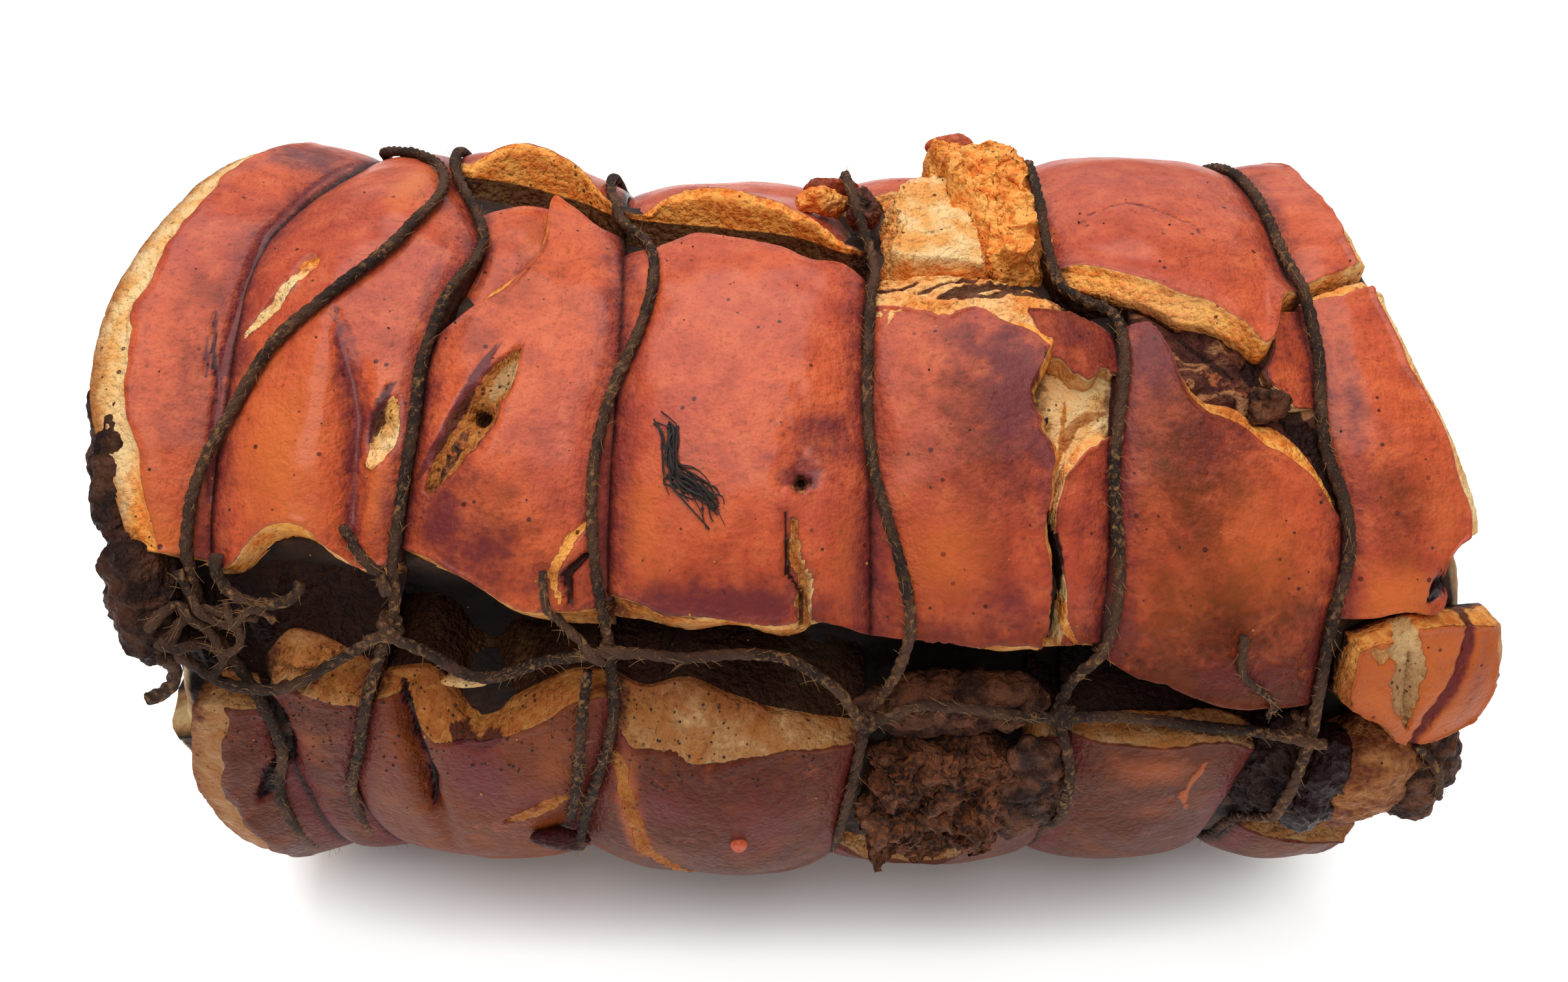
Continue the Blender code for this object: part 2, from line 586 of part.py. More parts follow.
def finish(bm, name):
    """A mesh of triangles from this bmesh, closed and with its faces outwards."""
    bmesh.ops.recalc_face_normals(bm, faces=bm.faces)
    bmesh.ops.triangulate(bm, faces=bm.faces)
    mesh = bpy.data.meshes.new(name)
    bm.to_mesh(mesh)
    bm.free()
    return mesh


def slab(name, rind, collection):
    """One slab of rind: a grid given its thickness, then bent round the roll."""
    bm = bmesh.new()
    bmesh.ops.create_grid(bm, x_segments=rind.cells[0], y_segments=rind.cells[1], size=0.5)
    outer = bmesh.ops.extrude_face_region(bm, geom=bm.faces[:])
    skin = [item for item in outer["geom"] if isinstance(item, bmesh.types.BMVert)]
    bmesh.ops.translate(bm, verts=skin, vec=(0, 0, 1))
    across, along, depth = read_points(bm).T
    move_points(bm, rind.place(across + 0.5, along + 0.5, depth))
    return new_object(name, finish(bm, name), collection, None)


def core_radius(station, angle):
    """The meat under the rind, with the open seam sunk into it."""
    middle = through(SEAM_MIDDLE, station)
    depth = through(SEAM_DEPTH, station)
    away = np.abs((angle - middle + 180) % 360 - 180) / SEAM_HALF_OPENING
    return body_radius(station, angle) - MEAT_DEPTH - depth * np.exp(-(away**4))


def end_bulge(share, turn):
    """How far an end of the meat stands out: a dome with the roll's spiral pressed into it."""
    spiral = np.cos(2 * np.pi * SPIRAL_TURNS * share - turn)
    dome = np.sqrt(np.clip(1 - share**END_ROUNDNESS, 0, 1))
    return END_BULGE * dome + SPIRAL_RELIEF * spiral * np.sin(np.pi * share)


def end_station(angle, start, hills):
    """Where an end of the meat begins to curve in, round the roll."""
    return start + sum(height * hill(angle, middle, spread) for middle, spread, height in hills)


def meat_core(collection, rings=27, around=26, dome_rings=4):
    """The meat: a sphere whose bands of latitude become two domed ends and the stations between."""
    bm = bmesh.new()
    bmesh.ops.create_uvsphere(bm, u_segments=around, v_segments=rings, radius=1.0)
    x, y, z = read_points(bm).T
    band = np.rint(np.arccos(np.clip(z, -1, 1)) / np.pi * rings)
    turn = np.arctan2(y, x)
    angle = np.degrees(turn) % 360
    angle = (angle + SEAM_CROWDING * np.sin(np.radians(SEAM_CROWDED_AT - angle))) % 360
    left_end = end_station(angle, LEFT_END, LEFT_END_HILLS)
    right_end = end_station(angle, RIGHT_END, RIGHT_END_HILLS)
    along = np.clip((band - dome_rings) / (rings - 2 * dome_rings), 0, 1)
    station = left_end + (right_end - left_end) * along
    share = np.clip(np.minimum(band, rings - band) / dome_rings, 0, 1)
    side = np.where(band < rings / 2, -1.0, 1.0)
    bulge = np.where(share < 1, end_bulge(share, turn), 0.0)
    radius = core_radius(station, angle) * share
    move_points(bm, place(station + side * bulge, angle, radius))
    return new_object("meat_core", finish(bm, "meat_core"), collection, None)


@dataclass
class Lump:
    """A lump of fat, skin or meat that stands out of the roast.

    sizes are its half lengths along the roll, round it and outwards, and sink is how far its middle lies
    under the rind's smooth outside, all in millimetres.
    """

    name: str
    station: float
    angle: float
    sizes: tuple
    tilt: float
    sink: float
    rough: float
    level: int = 2


# The lumps that stand out along the top, along the seam and at the ends
LUMPS = [
    Lump("torn_corner", 58.0, 352.5, (9, 20, 5), 0, 2.6, 0.04),
    Lump("shard_skin", 45.5, 112.5, (7, 2.6, 3.0), -20, -7.0, 0.08, level=1),
    Lump("cream_bit", 10.5, 95, (6.5, 2.6, 3.2), 15, 1.0, 0.12, level=1),
    Lump("scrap_skin", 12.5, 100, (7, 1.8, 3), 12, 0.0, 0.08, level=1),
    Lump("brown_bit", 20, 92, (4.0, 8, 4.5), 0, 1.0, 0.12, level=1),
    Lump("meat_nub", 104.5, 51.8, (3.6, 4.2, 3.2), 20, 0.8, 0.08, level=1),
    Lump("fat_knob", 139, 353, (13.5, 20, 11), -8, 7.0, 0.03),
    Lump("end_meat", 154, 352, (10, 20, 13), 0, 8.0, 0.12),
    Lump("seam_meat", 119, 354, (10, 20, 9), 0, 9.3, 0.12),
    Lump("grey_fat", -72.5, 13.8, (5.5, 1.8, 1.6), 0, 6.2, 0.08, level=1),
    Lump("seam_strip", 38, 368.5, (23, 8, 6), 3, 9.0, 0.12),
    Lump("charred_goo", 129, 352, (7, 19, 9), 0, 5.5, 0.1),
    Lump("pink_nub", -11, 347, (2.0, 2.2, 2.0), 0, 0.3, 0.0, level=1),
    Lump("goo_tail", -57, 338.5, (7.5, 3.0, 2.6), -10, 0.0, 0.12, level=1),
    Lump("left_meat_low", -140, 27, (9, 17, 9), 10, 8.0, 0.12),
    Lump("left_meat_high", -146, 49, (7.5, 24, 9), 0, 11.0, 0.12),
]


def add_lump(lump, collection):
    """One lump: a sphere scaled, roughened by overlapping waves and set on the roast."""
    bm = bmesh.new()
    bmesh.ops.create_icosphere(bm, subdivisions=lump.level, radius=1.0)
    for vert in bm.verts:
        wave = sum(np.sin(vert.co.dot(Vector(way)) + start) for way, start in LUMP_WAVES)
        vert.co *= 1 + lump.rough * wave / len(LUMP_WAVES)
    bmesh.ops.scale(bm, vec=Vector(lump.sizes) * MM, verts=bm.verts)
    base = body_radius(lump.station, lump.angle) - lump.sink
    centre = Vector(place(lump.station, lump.angle, base))
    stand = Matrix.Rotation(np.radians(90 - lump.angle), 4, "X")
    turn = Matrix.Rotation(np.radians(lump.tilt), 4, "Z")
    bmesh.ops.transform(bm, matrix=Matrix.Translation(centre) @ stand @ turn, verts=bm.verts)
    return new_object(lump.name, finish(bm, lump.name), collection, None)


def fuse(name, parts, collection, material):
    """One closed solid of all these, standing on its flat underside, with channels in it for the twine."""
    first, others = parts[0], parts[1:]
    rest = new_collection(name + "_pieces")
    for part in others:
        for owner in part.users_collection:
            owner.objects.unlink(part)
        rest.objects.link(part)
    union = first.modifiers.new("union", "BOOLEAN")
    union.operation = "UNION"
    union.operand_type = "COLLECTION"
    union.collection = rest
    union.solver = "EXACT"
    cutters = floor_cutters()
    cut = first.modifiers.new("flat_underside", "BOOLEAN")
    cut.operation = "DIFFERENCE"
    cut.operand_type = "COLLECTION"
    cut.collection = cutters
    cut.solver = "EXACT"
    graph = bpy.context.evaluated_depsgraph_get()
    mesh = bpy.data.meshes.new_from_object(first.evaluated_get(graph))
    for part in parts + list(cutters.objects):
        bpy.data.objects.remove(part, do_unlink=True)
    bpy.data.collections.remove(rest)
    bpy.data.collections.remove(cutters)
    mesh.materials.clear()
    made = new_object(name, mesh, collection, material)
    drop_scraps(made.data)
    return made


def box(name, size, centre, collection):
    """A box of this size about this centre."""
    bm = bmesh.new()
    bmesh.ops.create_cube(bm, size=1.0)
    bmesh.ops.scale(bm, vec=size, verts=bm.verts)
    bmesh.ops.translate(bm, vec=centre, verts=bm.verts)
    return new_object(name, finish(bm, name), collection, None)


def floor_cutters():
    """What flattens the underside: a block up to the floor, with a channel above it for each loop."""
    cutters = new_collection("floor_cutters")
    box("floor_block", (FLOOR_BLOCK,) * 3, (0, 0, -FLOOR_BLOCK / 2), cutters)
    for number, knots in enumerate(LOOPS, start=1):
        station = float(through(knots, 270)) * MM + MIDDLE.x
        size = (CHANNEL_WIDTH, CHANNEL_LENGTH, 2 * CHANNEL_HEIGHT)
        box(f"channel_{number}", size, (station, MIDDLE.y, 0), cutters)
    return cutters


def drop_scraps(mesh):
    """Keeps the biggest connected body of a mesh."""
    bm = bmesh.new()
    bm.from_mesh(mesh)
    bmesh.ops.remove_doubles(bm, verts=bm.verts, dist=SCRAP_WELD)
    left = set(bm.verts)
    bodies = []
    while left:
        stack = [left.pop()]
        body = set(stack)
        while stack:
            for edge in stack.pop().link_edges:
                for vert in edge.verts:
                    if vert not in body:
                        body.add(vert)
                        stack.append(vert)
        left -= body
        bodies.append(body)
    biggest = max(bodies, key=len)
    bmesh.ops.delete(bm, geom=[vert for vert in bm.verts if vert not in biggest], context="VERTS")
    bmesh.ops.triangulate(bm, faces=bm.faces)
    bm.to_mesh(mesh)
    bm.free()


def loop_route(knots, count):
    """Stations and angles evenly spaced along one loop, closer together where it wanders."""
    first, last = knots[0][0], knots[-1][0]
    fine = np.linspace(first, last, count * 50)
    weight = np.where((fine < CLOSER_UP_TO) | (fine > CLOSER_FROM), CLOSER, 1.0)
    run = np.concatenate([[0], np.cumsum((weight[1:] + weight[:-1]) / 2)])
    angle = np.interp(np.linspace(0, run[-1], count, endpoint=False), run, fine)
    return through(knots, angle), angle


def is_inside(tree, point, outwards):
    """Whether a ray outwards leaves the solid an odd number of times."""
    crossings = 0
    origin = point
    while crossings < MOST_CROSSINGS:
        hit, _, _, _ = tree.ray_cast(origin, outwards)
        if hit is None:
            break
        crossings += 1
        origin = hit + outwards * RAY_STEP
    return crossings % 2 == 1


def rest_on(tree, station, angle, start, radius, closed):
    """Lays a string on a solid: each point moves out from the axis until its tube is clear all along."""
    reach = np.array(start, float)
    need = (radius + CLEARANCE) / MM
    count = len(station)
    pairs = [(i, (i + 1) % count) for i in range(count if closed else count - 1)]
    for _ in range(REST_ROUNDS):
        points = place(station, angle, reach)
        push = np.zeros(count)
        for i, j in pairs:
            turn = np.radians(angle[i])
            outwards = Vector((0, -np.cos(turn), np.sin(turn)))
            for share in TESTED_SHARES:
                point = Vector(points[i] * (1 - share) + points[j] * share)
                far = tree.find_nearest(point)[3] / MM
                if far > need:
                    continue
                short = need + far if is_inside(tree, point, outwards) else need - far
                if short > 0:
                    push[i] = max(push[i], short * (1 - share) + EXTRA_PUSH)
                    push[j] = max(push[j], short * share + EXTRA_PUSH)
        if push.max() <= 0:
            break
        reach += np.minimum(push, MOST_PUSH)
    return reach


def tube(name, points, radius, closed, collection, material):
    """A round string through these points, as a mesh with its ends closed."""
    data = bpy.data.curves.new(name, "CURVE")
    data.dimensions = "3D"
    data.bevel_depth = radius
    data.bevel_resolution = TWINE_SIDES_RESOLUTION
    data.use_fill_caps = not closed
    spline = data.splines.new("POLY")
    spline.points.add(len(points) - 1)
    for spot, point in zip(spline.points, points):
        spot.co = (*point, 1.0)
    spline.use_cyclic_u = closed
    guide = bpy.data.objects.new(name + "_guide", data)
    collection.objects.link(guide)
    graph = bpy.context.evaluated_depsgraph_get()
    mesh = bpy.data.meshes.new_from_object(guide.evaluated_get(graph))
    bpy.data.objects.remove(guide, do_unlink=True)
    bm = bmesh.new()
    bm.from_mesh(mesh)
    bmesh.ops.remove_doubles(bm, verts=bm.verts, dist=CAP_WELD)
    bpy.data.meshes.remove(mesh)
    made = new_object(name, finish(bm, name), collection, material)
    made.data.shade_smooth()
    return made


def tree_of(objects):
    """A search tree over the faces of all these objects."""
    points, faces = [], []
    for item in objects:
        faces += [[len(points) + i for i in face.vertices] for face in item.data.polygons]
        points += [item.matrix_world @ vert.co for vert in item.data.vertices]
    return BVHTree.FromPolygons(points, faces)


def add_loops(roast, collection, material):
    """The six loops that tie the roast."""
    tree = tree_of([roast])
    loops = []
    for number, knots in enumerate(LOOPS, start=1):
        station, angle = loop_route(knots, LOOP_POINTS)
        down = np.maximum(-np.sin(np.radians(angle)), 0.01)
        above_floor = (AXIS_HEIGHT / MM - LOWEST_TWINE) / down
        start = np.minimum(body_radius(station, angle) - LOOP_SINK, above_floor)
        reach = rest_on(tree, station, angle, start, TWINE_RADIUS, closed=True)
        points = place(station, angle, reach)
        loops.append(tube(f"twine_loop_{number}", points, TWINE_RADIUS, True, collection, material))
    return loops


def string_points(tree, knots, count, radius, sink):
    """An open string through (station, angle) knots, resting on whatever is under it."""
    share = np.linspace(0, 1, len(knots))
    at = np.linspace(0, 1, count)
    station = through([(t, knot[0]) for t, knot in zip(share, knots)], at)
    angle = through([(t, knot[1]) for t, knot in zip(share, knots)], at)
    start = body_radius(station, angle) - sink
    reach = rest_on(tree, station, angle, start, radius, closed=False)
    return place(station, angle, reach)


def add_strings(roast, loops, collection, material):
    """The string along the seam, laid over the loops, and the end that curls back at the left."""
    points = string_points(tree_of([roast] + loops), SEAM_STRING, SEAM_POINTS, TWINE_RADIUS, SEAM_SINK)
    seam = tube("twine_lengthwise", points, TWINE_RADIUS, False, collection, material)
    points = string_points(tree_of([roast, seam] + loops), CURLED_END, CURL_POINTS, TWINE_RADIUS, CURL_SINK)
    tube("twine_curled_end", points, TWINE_RADIUS, False, collection, material)


def add_tuft(roast, collection, material):
    """The dry sprig of herbs that clings to the middle of the rind."""
    station, angle = np.array(TUFT, float).T
    widest = max(TUFT_RADII) * MM
    points = string_points(tree_of([roast]), TUFT, len(TUFT), widest, TUFT_SINK)
    sprig = tube("herb_tuft", points, widest, False, collection, material)
    bm = bmesh.new()
    bm.from_mesh(sprig.data)
    for vert in bm.verts:
        spine = min(range(len(points)), key=lambda i: (vert.co - Vector(points[i])).length)
        centre = Vector(points[spine])
        vert.co = centre + (vert.co - centre) * (TUFT_RADII[spine] * MM / widest)
    bm.to_mesh(sprig.data)
    bm.free()


def main():
    for item in list(bpy.data.objects):
        bpy.data.objects.remove(item, do_unlink=True)
    porchetta = new_collection("porchetta")
    rind = principled("roast_rind", *RIND_LOOK)
    twine = principled("kitchen_twine", *TWINE_LOOK)
    herbs = principled("dry_herbs", *HERBS_LOOK)
    parts = [meat_core(porchetta)]
    parts += [slab(name, shape, porchetta) for name, shape in RINDS.items()]
    parts += [add_lump(lump, porchetta) for lump in LUMPS]
    roast = fuse("roast", parts, porchetta, rind)
    loops = add_loops(roast, porchetta, twine)
    add_strings(roast, loops, porchetta, twine)
    add_tuft(roast, porchetta, herbs)


if __name__ == "__main__":
    main()
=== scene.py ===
"""Looks for the porchetta: a rolled, tied and roasted pork belly on a pale floor.

The rind is a set of thick torn slabs bent round a core of dark meat, tied with twisted kitchen twine. A
place on the roast is a station, in millimetres along the roll, and an angle round it, in degrees: 0 is the
front, 90 the top, 180 the back, 270 the underside, and from there on past 360 up to the seam's lower lip.
"""

import logging
from dataclasses import dataclass, field
from typing import Callable, Optional, Sequence, Union

import bmesh
import bpy
import numpy as np
from mathutils import Matrix, Vector
from mathutils.bvhtree import BVHTree

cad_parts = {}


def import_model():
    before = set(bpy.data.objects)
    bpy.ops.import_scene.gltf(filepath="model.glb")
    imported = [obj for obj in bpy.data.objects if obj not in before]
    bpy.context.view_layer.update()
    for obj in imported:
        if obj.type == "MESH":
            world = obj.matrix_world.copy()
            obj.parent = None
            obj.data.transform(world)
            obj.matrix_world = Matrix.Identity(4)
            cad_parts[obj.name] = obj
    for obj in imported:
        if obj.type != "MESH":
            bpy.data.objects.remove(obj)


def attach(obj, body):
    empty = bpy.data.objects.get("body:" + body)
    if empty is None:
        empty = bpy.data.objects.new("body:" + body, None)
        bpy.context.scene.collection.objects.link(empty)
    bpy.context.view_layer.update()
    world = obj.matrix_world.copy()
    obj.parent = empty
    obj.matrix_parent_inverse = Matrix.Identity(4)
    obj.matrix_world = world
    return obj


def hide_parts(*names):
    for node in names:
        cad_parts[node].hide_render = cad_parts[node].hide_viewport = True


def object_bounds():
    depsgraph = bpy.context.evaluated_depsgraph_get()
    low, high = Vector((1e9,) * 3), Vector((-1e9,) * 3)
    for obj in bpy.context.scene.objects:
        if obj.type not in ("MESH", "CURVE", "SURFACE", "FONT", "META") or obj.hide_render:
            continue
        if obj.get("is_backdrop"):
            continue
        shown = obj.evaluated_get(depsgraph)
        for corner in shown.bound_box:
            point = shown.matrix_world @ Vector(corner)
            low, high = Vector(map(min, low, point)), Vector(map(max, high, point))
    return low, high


LOG = logging.getLogger("porchetta")
Array = np.ndarray
Knots = Sequence[tuple[float, float]]
Edge = Sequence[tuple[float, float, float]]
Tints = dict[str, Array]
Colour = tuple[float, float, float]
Material = bpy.types.Material
Piece = bpy.types.Object
Mesh = bpy.types.Mesh
Socket = bpy.types.NodeSocket

MM = 0.001
TINY = 1e-12

# The roll, in metres
HALF_DEPTH = 0.100
HALF_HEIGHT = 0.0955
SQUARENESS = 2.2
AXIS_HEIGHT = 0.090
MIDDLE = Vector((-0.0037, 0.0007, 0.0))

# How much higher its top stands towards each end: height in millimetres, and the stations it grows between
LEFT_RISE = (9.0, -45.0, -95.0)
RIGHT_RISE = (4.0, 45.0, 85.0)
RISE_AT = 105
RISE_SPREAD = 45

# How far the lower front is drawn in, along the roll, and the angle where it is drawn in most
LOW_FRONT = [(-150, 7.5), (-110, 7), (-80, 5.5), (-50, 4), (-35, 0), (-10, -2.5), (10, -0.5), (25, 3)]
LOW_FRONT += [(60, 5), (90, 6.5), (115, 6), (150, 4)]
LOW_FRONT_AT = 345
LOW_FRONT_SPREAD = 26

# The rounded right shoulder, in millimetres
SHOULDER_START = 122.0
SHOULDER_LENGTH = 56.0
SHOULDER_DROP = 30.0

# Rind, meat and twine, in millimetres; a groove is (depth, width)
RIND = 10.5
SKIN_THICKNESS = 1.1
THINNEST = 1.6
OVERLAP = 0.9
MEAT_DEPTH = 8.0
GROOVE_WIDE = (3.0, 13.0)
GROOVE_NARROW = (3.2, 3.2)
TWINE_RADIUS = 1.4

# How long a degree round the roll is, in millimetres, and how far the looks stay inside the box, in metres
ARC = 1.7
BOX_MARGIN = 0.0002

# The camera of the photograph
PHOTO_WIDTH = 2415
FOCAL_PIXELS = 1860.0
CAMERA_ELEVATION = 38.0
CAMERA_DISTANCE = 0.359
CAMERA_TILT_PIXELS = 34.0
SENSOR_WIDTH = 36.0

# The dark and plum tints also carry painted shade in creases, holes and gaps, and brown carries painted shade
# towards the underside.
TINTS = ("fat", "raw", "dark", "amber", "plum", "pale", "meat", "marbled", "brown")


def smooth(t: Array) -> Array:
    """Eases from 0 to 1 as t does."""
    t = np.clip(t, 0.0, 1.0)
    return t * t * (3.0 - 2.0 * t)


def bell(away: Array) -> Array:
    """1 at no distance, falling to 0 a width or two away."""
    return np.exp(-(away**2))


def signed(angle: Array) -> Array:
    """The same angle, from -180 to 180."""
    return (angle + 180) % 360 - 180


def running_length(line: Array) -> Array:
    """How far along the line each of its points is."""
    return np.concatenate([[0], np.cumsum(np.linalg.norm(np.diff(line, axis=0), axis=1))])


def unit(directions: Array) -> Array:
    """The directions, one row each, with a length of 1."""
    return directions / np.maximum(np.linalg.norm(directions, axis=1, keepdims=True), TINY)


def through(knots: Knots, at: Array) -> Array:
    """Reads a smooth curve through (place, value) pairs.

    Args:
        knots: The pairs, in rising order of place.
        at: One place or many.

    Returns:
        The curve's value at each place.
    """
    place, value = np.array(knots, float).T
    at = np.clip(at, place[0], place[-1])
    if len(place) == 1:
        return np.full(np.shape(at), value[0])
    slope = np.gradient(value, place)
    i = np.clip(np.searchsorted(place, at) - 1, 0, len(place) - 2)
    step = place[i + 1] - place[i]
    t = (at - place[i]) / step
    ends = value[i] * (1 + 2 * t) * (1 - t) ** 2 + value[i + 1] * t**2 * (3 - 2 * t)
    return ends + step * t * (1 - t) * (slope[i] * (1 - t) - slope[i + 1] * t)


def route(knots: Knots, count: int) -> tuple[Array, Array]:
    """Reads a smooth route through (station, angle) places.

    Args:
        knots: The places, shared evenly along the route.
        count: How many points to read.

    Returns:
        The station of each point, and its angle.
    """
    share = np.linspace(0, 1, len(knots))
    at = np.linspace(0, 1, count)
    station, angle = (through(list(zip(share, column)), at) for column in zip(*knots))
    return station, angle


def body_radius(station: Array, angle: Array) -> Array:
    """Distance from the roll's axis to its smooth outside, in millimetres."""
    turn = np.radians(angle)
    across = np.abs(np.cos(turn) / HALF_DEPTH) ** SQUARENESS
    up = np.abs(np.sin(turn) / HALF_HEIGHT) ** SQUARENESS
    radius = (across + up) ** (-1 / SQUARENESS) / MM
    rise = 0.0
    for height, start, end in (LEFT_RISE, RIGHT_RISE):
        rise = rise + height * smooth((station - start) / (end - start))
    radius = radius + rise * bell((angle - RISE_AT) / RISE_SPREAD)
    radius = radius - through(LOW_FRONT, station) * bell(signed(angle - LOW_FRONT_AT) / LOW_FRONT_SPREAD)
    past = np.clip((station - SHOULDER_START) / SHOULDER_LENGTH, 0, 0.999)
    return radius - SHOULDER_DROP * (1 - np.sqrt(1 - past**2))


def place(station: Array, angle: Array, radius: Array) -> Array:
    """The points at these stations, angles and distances from the axis, in metres."""
    turn = np.radians(angle)
    return np.stack(
        [
            station * MM + MIDDLE.x,
            -radius * MM * np.cos(turn) + MIDDLE.y,
            radius * MM * np.sin(turn) + AXIS_HEIGHT,
        ],
        axis=-1,
    )


class Grain:
    """Repeatable gradient noise, and what is built from it. Places and sizes are in millimetres."""

    CELLS = 256
    STRENGTH = 1.7

    def __init__(self, seed: int) -> None:
        """Draws the noise's slopes from this seed."""
        chance = np.random.default_rng(seed)
        order = chance.permutation(self.CELLS)
        self._order = np.concatenate([order, order])
        slopes = chance.normal(size=(self.CELLS, 3))
        self._slopes = slopes / np.linalg.norm(slopes, axis=1, keepdims=True)

    def at(self, spots: Array, size: float) -> Array:
        """Noise from about -1 to 1 whose lumps are about this big."""
        scaled = spots / size
        base = np.floor(scaled).astype(np.int64)
        rest = scaled - base
        ease = rest**3 * (rest * (rest * 6 - 15) + 10)
        total = np.zeros(len(spots))
        for corner in range(8):
            step = np.array([corner & 1, corner >> 1 & 1, corner >> 2 & 1])
            cell = (base + step) & (self.CELLS - 1)
            row = self._order[self._order[cell[:, 0]] + cell[:, 1]]
            slope = self._slopes[self._order[row + cell[:, 2]]]
            weight = np.prod(np.where(step, ease, 1 - ease), axis=1)
            total += weight * ((rest - step) * slope).sum(axis=1)
        return self.STRENGTH * total

    def fractal(self, spots: Array, size: float, octaves: int = 3, gain: float = 0.5) -> Array:
        """Reads noise with finer noise on it.

        Args:
            spots: Points in millimetres, one row each.
            size: About how big the largest lumps are.
            octaves: How many sizes there are, each half the last.
            gain: How strong each is beside the last.

        Returns:
            The noise at each point.
        """
        total, strength = np.zeros(len(spots)), 1.0
        for octave in range(octaves):
            total += strength * self.at(spots + 17.3 * octave, size / 2**octave)
            strength *= gain
        return total

    def ridges(self, spots: Array, size: float, octaves: int = 3) -> Array:
        """Sharp crests, from 0 in the hollows to 1 on the crests."""
        total, strength, whole = np.zeros(len(spots)), 1.0, 0.0
        for octave in range(octaves):
            crest = 1 - np.abs(self.at(spots + 31.7 * octave, size / 2**octave))
            total += strength * np.clip(crest, 0, 1) ** 2
            whole += strength
            strength *= 0.5
        return total / whole


GRAIN = Grain(41)


@dataclass(frozen=True)
class Stroke:
    """A tear, crease or streak along a line on the roast.

    width and depth are in millimetres. tints says how it tints what it crosses, on names the slabs that it
    marks, ragged is how uneven its width is, sharp how steep its sides are, taper how much narrower its ends
    are, and halo how strongly its surroundings are tinted plum.
    """

    line: Knots
    width: float
    depth: float = 0.0
    tints: dict[str, float] = field(default_factory=dict)
    on: tuple[str, ...] = ()
    ragged: float = 0.6
    sharp: float = 2.0
    taper: float = 0.6
    halo: float = 0.0

    def nearness(self, station: Array, angle: Array, noise: Array) -> Array:
        """How near each place is to the line.

        Args:
            station: The places' stations.
            angle: Their angles.
            noise: Noise at each of them, for a ragged width.

        Returns:
            1 on the line, falling to 0 a width or two away.
        """
        spots = np.stack([station, angle * ARC], axis=1)
        line = np.array(self.line, float) * (1.0, ARC)
        width = self.width * (1 + self.ragged * noise)
        if len(line) == 1:
            return self._faded(np.linalg.norm(spots - line[0], axis=1), width)
        run = running_length(line)
        far, along_at = np.full(len(spots), 1e6), np.zeros(len(spots))
        for begun, start, end in zip(run, line[:-1], line[1:]):
            along = end - start
            share = np.clip((spots - start) @ along / (along @ along), 0, 1)
            away = np.linalg.norm(spots - start - share[:, None] * along, axis=1)
            along_at = np.where(away < far, (begun + share * np.linalg.norm(along)) / run[-1], along_at)
            far = np.minimum(far, away)
        return self._faded(far, width * (1 - self.taper * (2 * along_at - 1) ** 2))

    def _faded(self, far: Array, width: Array) -> Array:
        """1 at no distance, falling to 0 past this width."""
        return np.exp(-((far / np.maximum(width, 0.1)) ** self.sharp))


@dataclass(frozen=True)
class Patch:
    """A tinted area: a soft oval at a station and an angle, so many millimetres wide and degrees tall."""

    station: float
    angle: float
    wide: float
    tall: float
    tint: str
    amount: float
    lift: float = 0.0
    on: tuple[str, ...] = ()

    def share(self, station: Array, angle: Array, noise: Array) -> Array:
        """1 in the middle, fading outwards with an uneven edge."""
        far = ((station - self.station) / self.wide) ** 2 + ((angle - self.angle) / self.tall) ** 2
        return np.exp(-far * (1 + 0.5 * noise))


@dataclass(frozen=True)
class Shape:
    """A curved slab of rind: four edges, and how its outside rises and falls between them.

    left and right are (angle, station) curves. low and high are (share across, angle, rim) triples, where rim
    is how far the skin has shrunk back from a torn edge, in millimetres. swell is an (angle, height) curve,
    low_lift says how far the low edge stands up and over what length, and a dent is (station, angle, half
    width, half height, depth). The falls are shares of the thickness, meat_wall says how much of the walls is
    meat, and the tones say how browned each torn edge is.
    """

    left: Knots
    right: Knots
    low: Edge
    high: Edge
    swell: Knots = ((0, 0.0), (380, 0.0))
    left_rim: float = 0.0
    right_rim: float = 0.0
    low_lift: tuple[float, float] = (0.0, 20.0)
    dents: Sequence[tuple[float, ...]] = ()
    thick: float = RIND
    side_fall: float = 0.8
    low_fall: float = 0.8
    high_fall: float = 0.8
    meat_wall: float = 1.0
    pitch: float = 0.72
    rough: float = 0.0
    ragged: float = 0.9
    crumple: float = 0.0
    low_tone: float = 0.55
    high_tone: float = 0.35
    side_tone: float = 0.15
    tints: dict[str, float] = field(default_factory=dict)


LEFT_RIM = [(31, -139.5), (40, -144), (50, -150), (60, -152), (70, -151), (80, -148.5), (90, -146)]
LEFT_RIM += [(105, -142), (180, -146), (270, -145), (330, -145), (350, -144.5), (360, -140), (376, -131)]
FIRST_CREASE = [(29, -124), (50, -122), (80, -122), (91, -118), (105, -113), (125, -114), (180, -118)]
FIRST_CREASE += [(240, -120), (300, -120), (330, -121), (350, -120), (360, -119), (376, -117)]
SECOND_LINE = [(25, -85.5), (40, -82), (50, -80), (60, -79), (70, -75.5), (80, -73), (90, -78)]
SECOND_LINE += [(105, -87), (180, -89), (240, -97), (300, -98), (330, -107), (350, -106)]
SECOND_LINE += [(360, -100.5), (376, -91)]
THIRD_LINE = [(20, -38.5), (40, -37.7), (60, -37), (80, -39), (90, -41), (110, -44), (180, -44)]
THIRD_LINE += [(240, -47), (300, -48), (330, -54), (350, -47.4), (360, -42.5), (370, -38.5), (376, -39)]
FOURTH_LINE = [(18, 19), (40, 18.7), (60, 18), (80, 19), (90, 17), (110, 15), (270, 15), (350, 15)]
FOURTH_LINE += [(360, 17), (368, 19)]
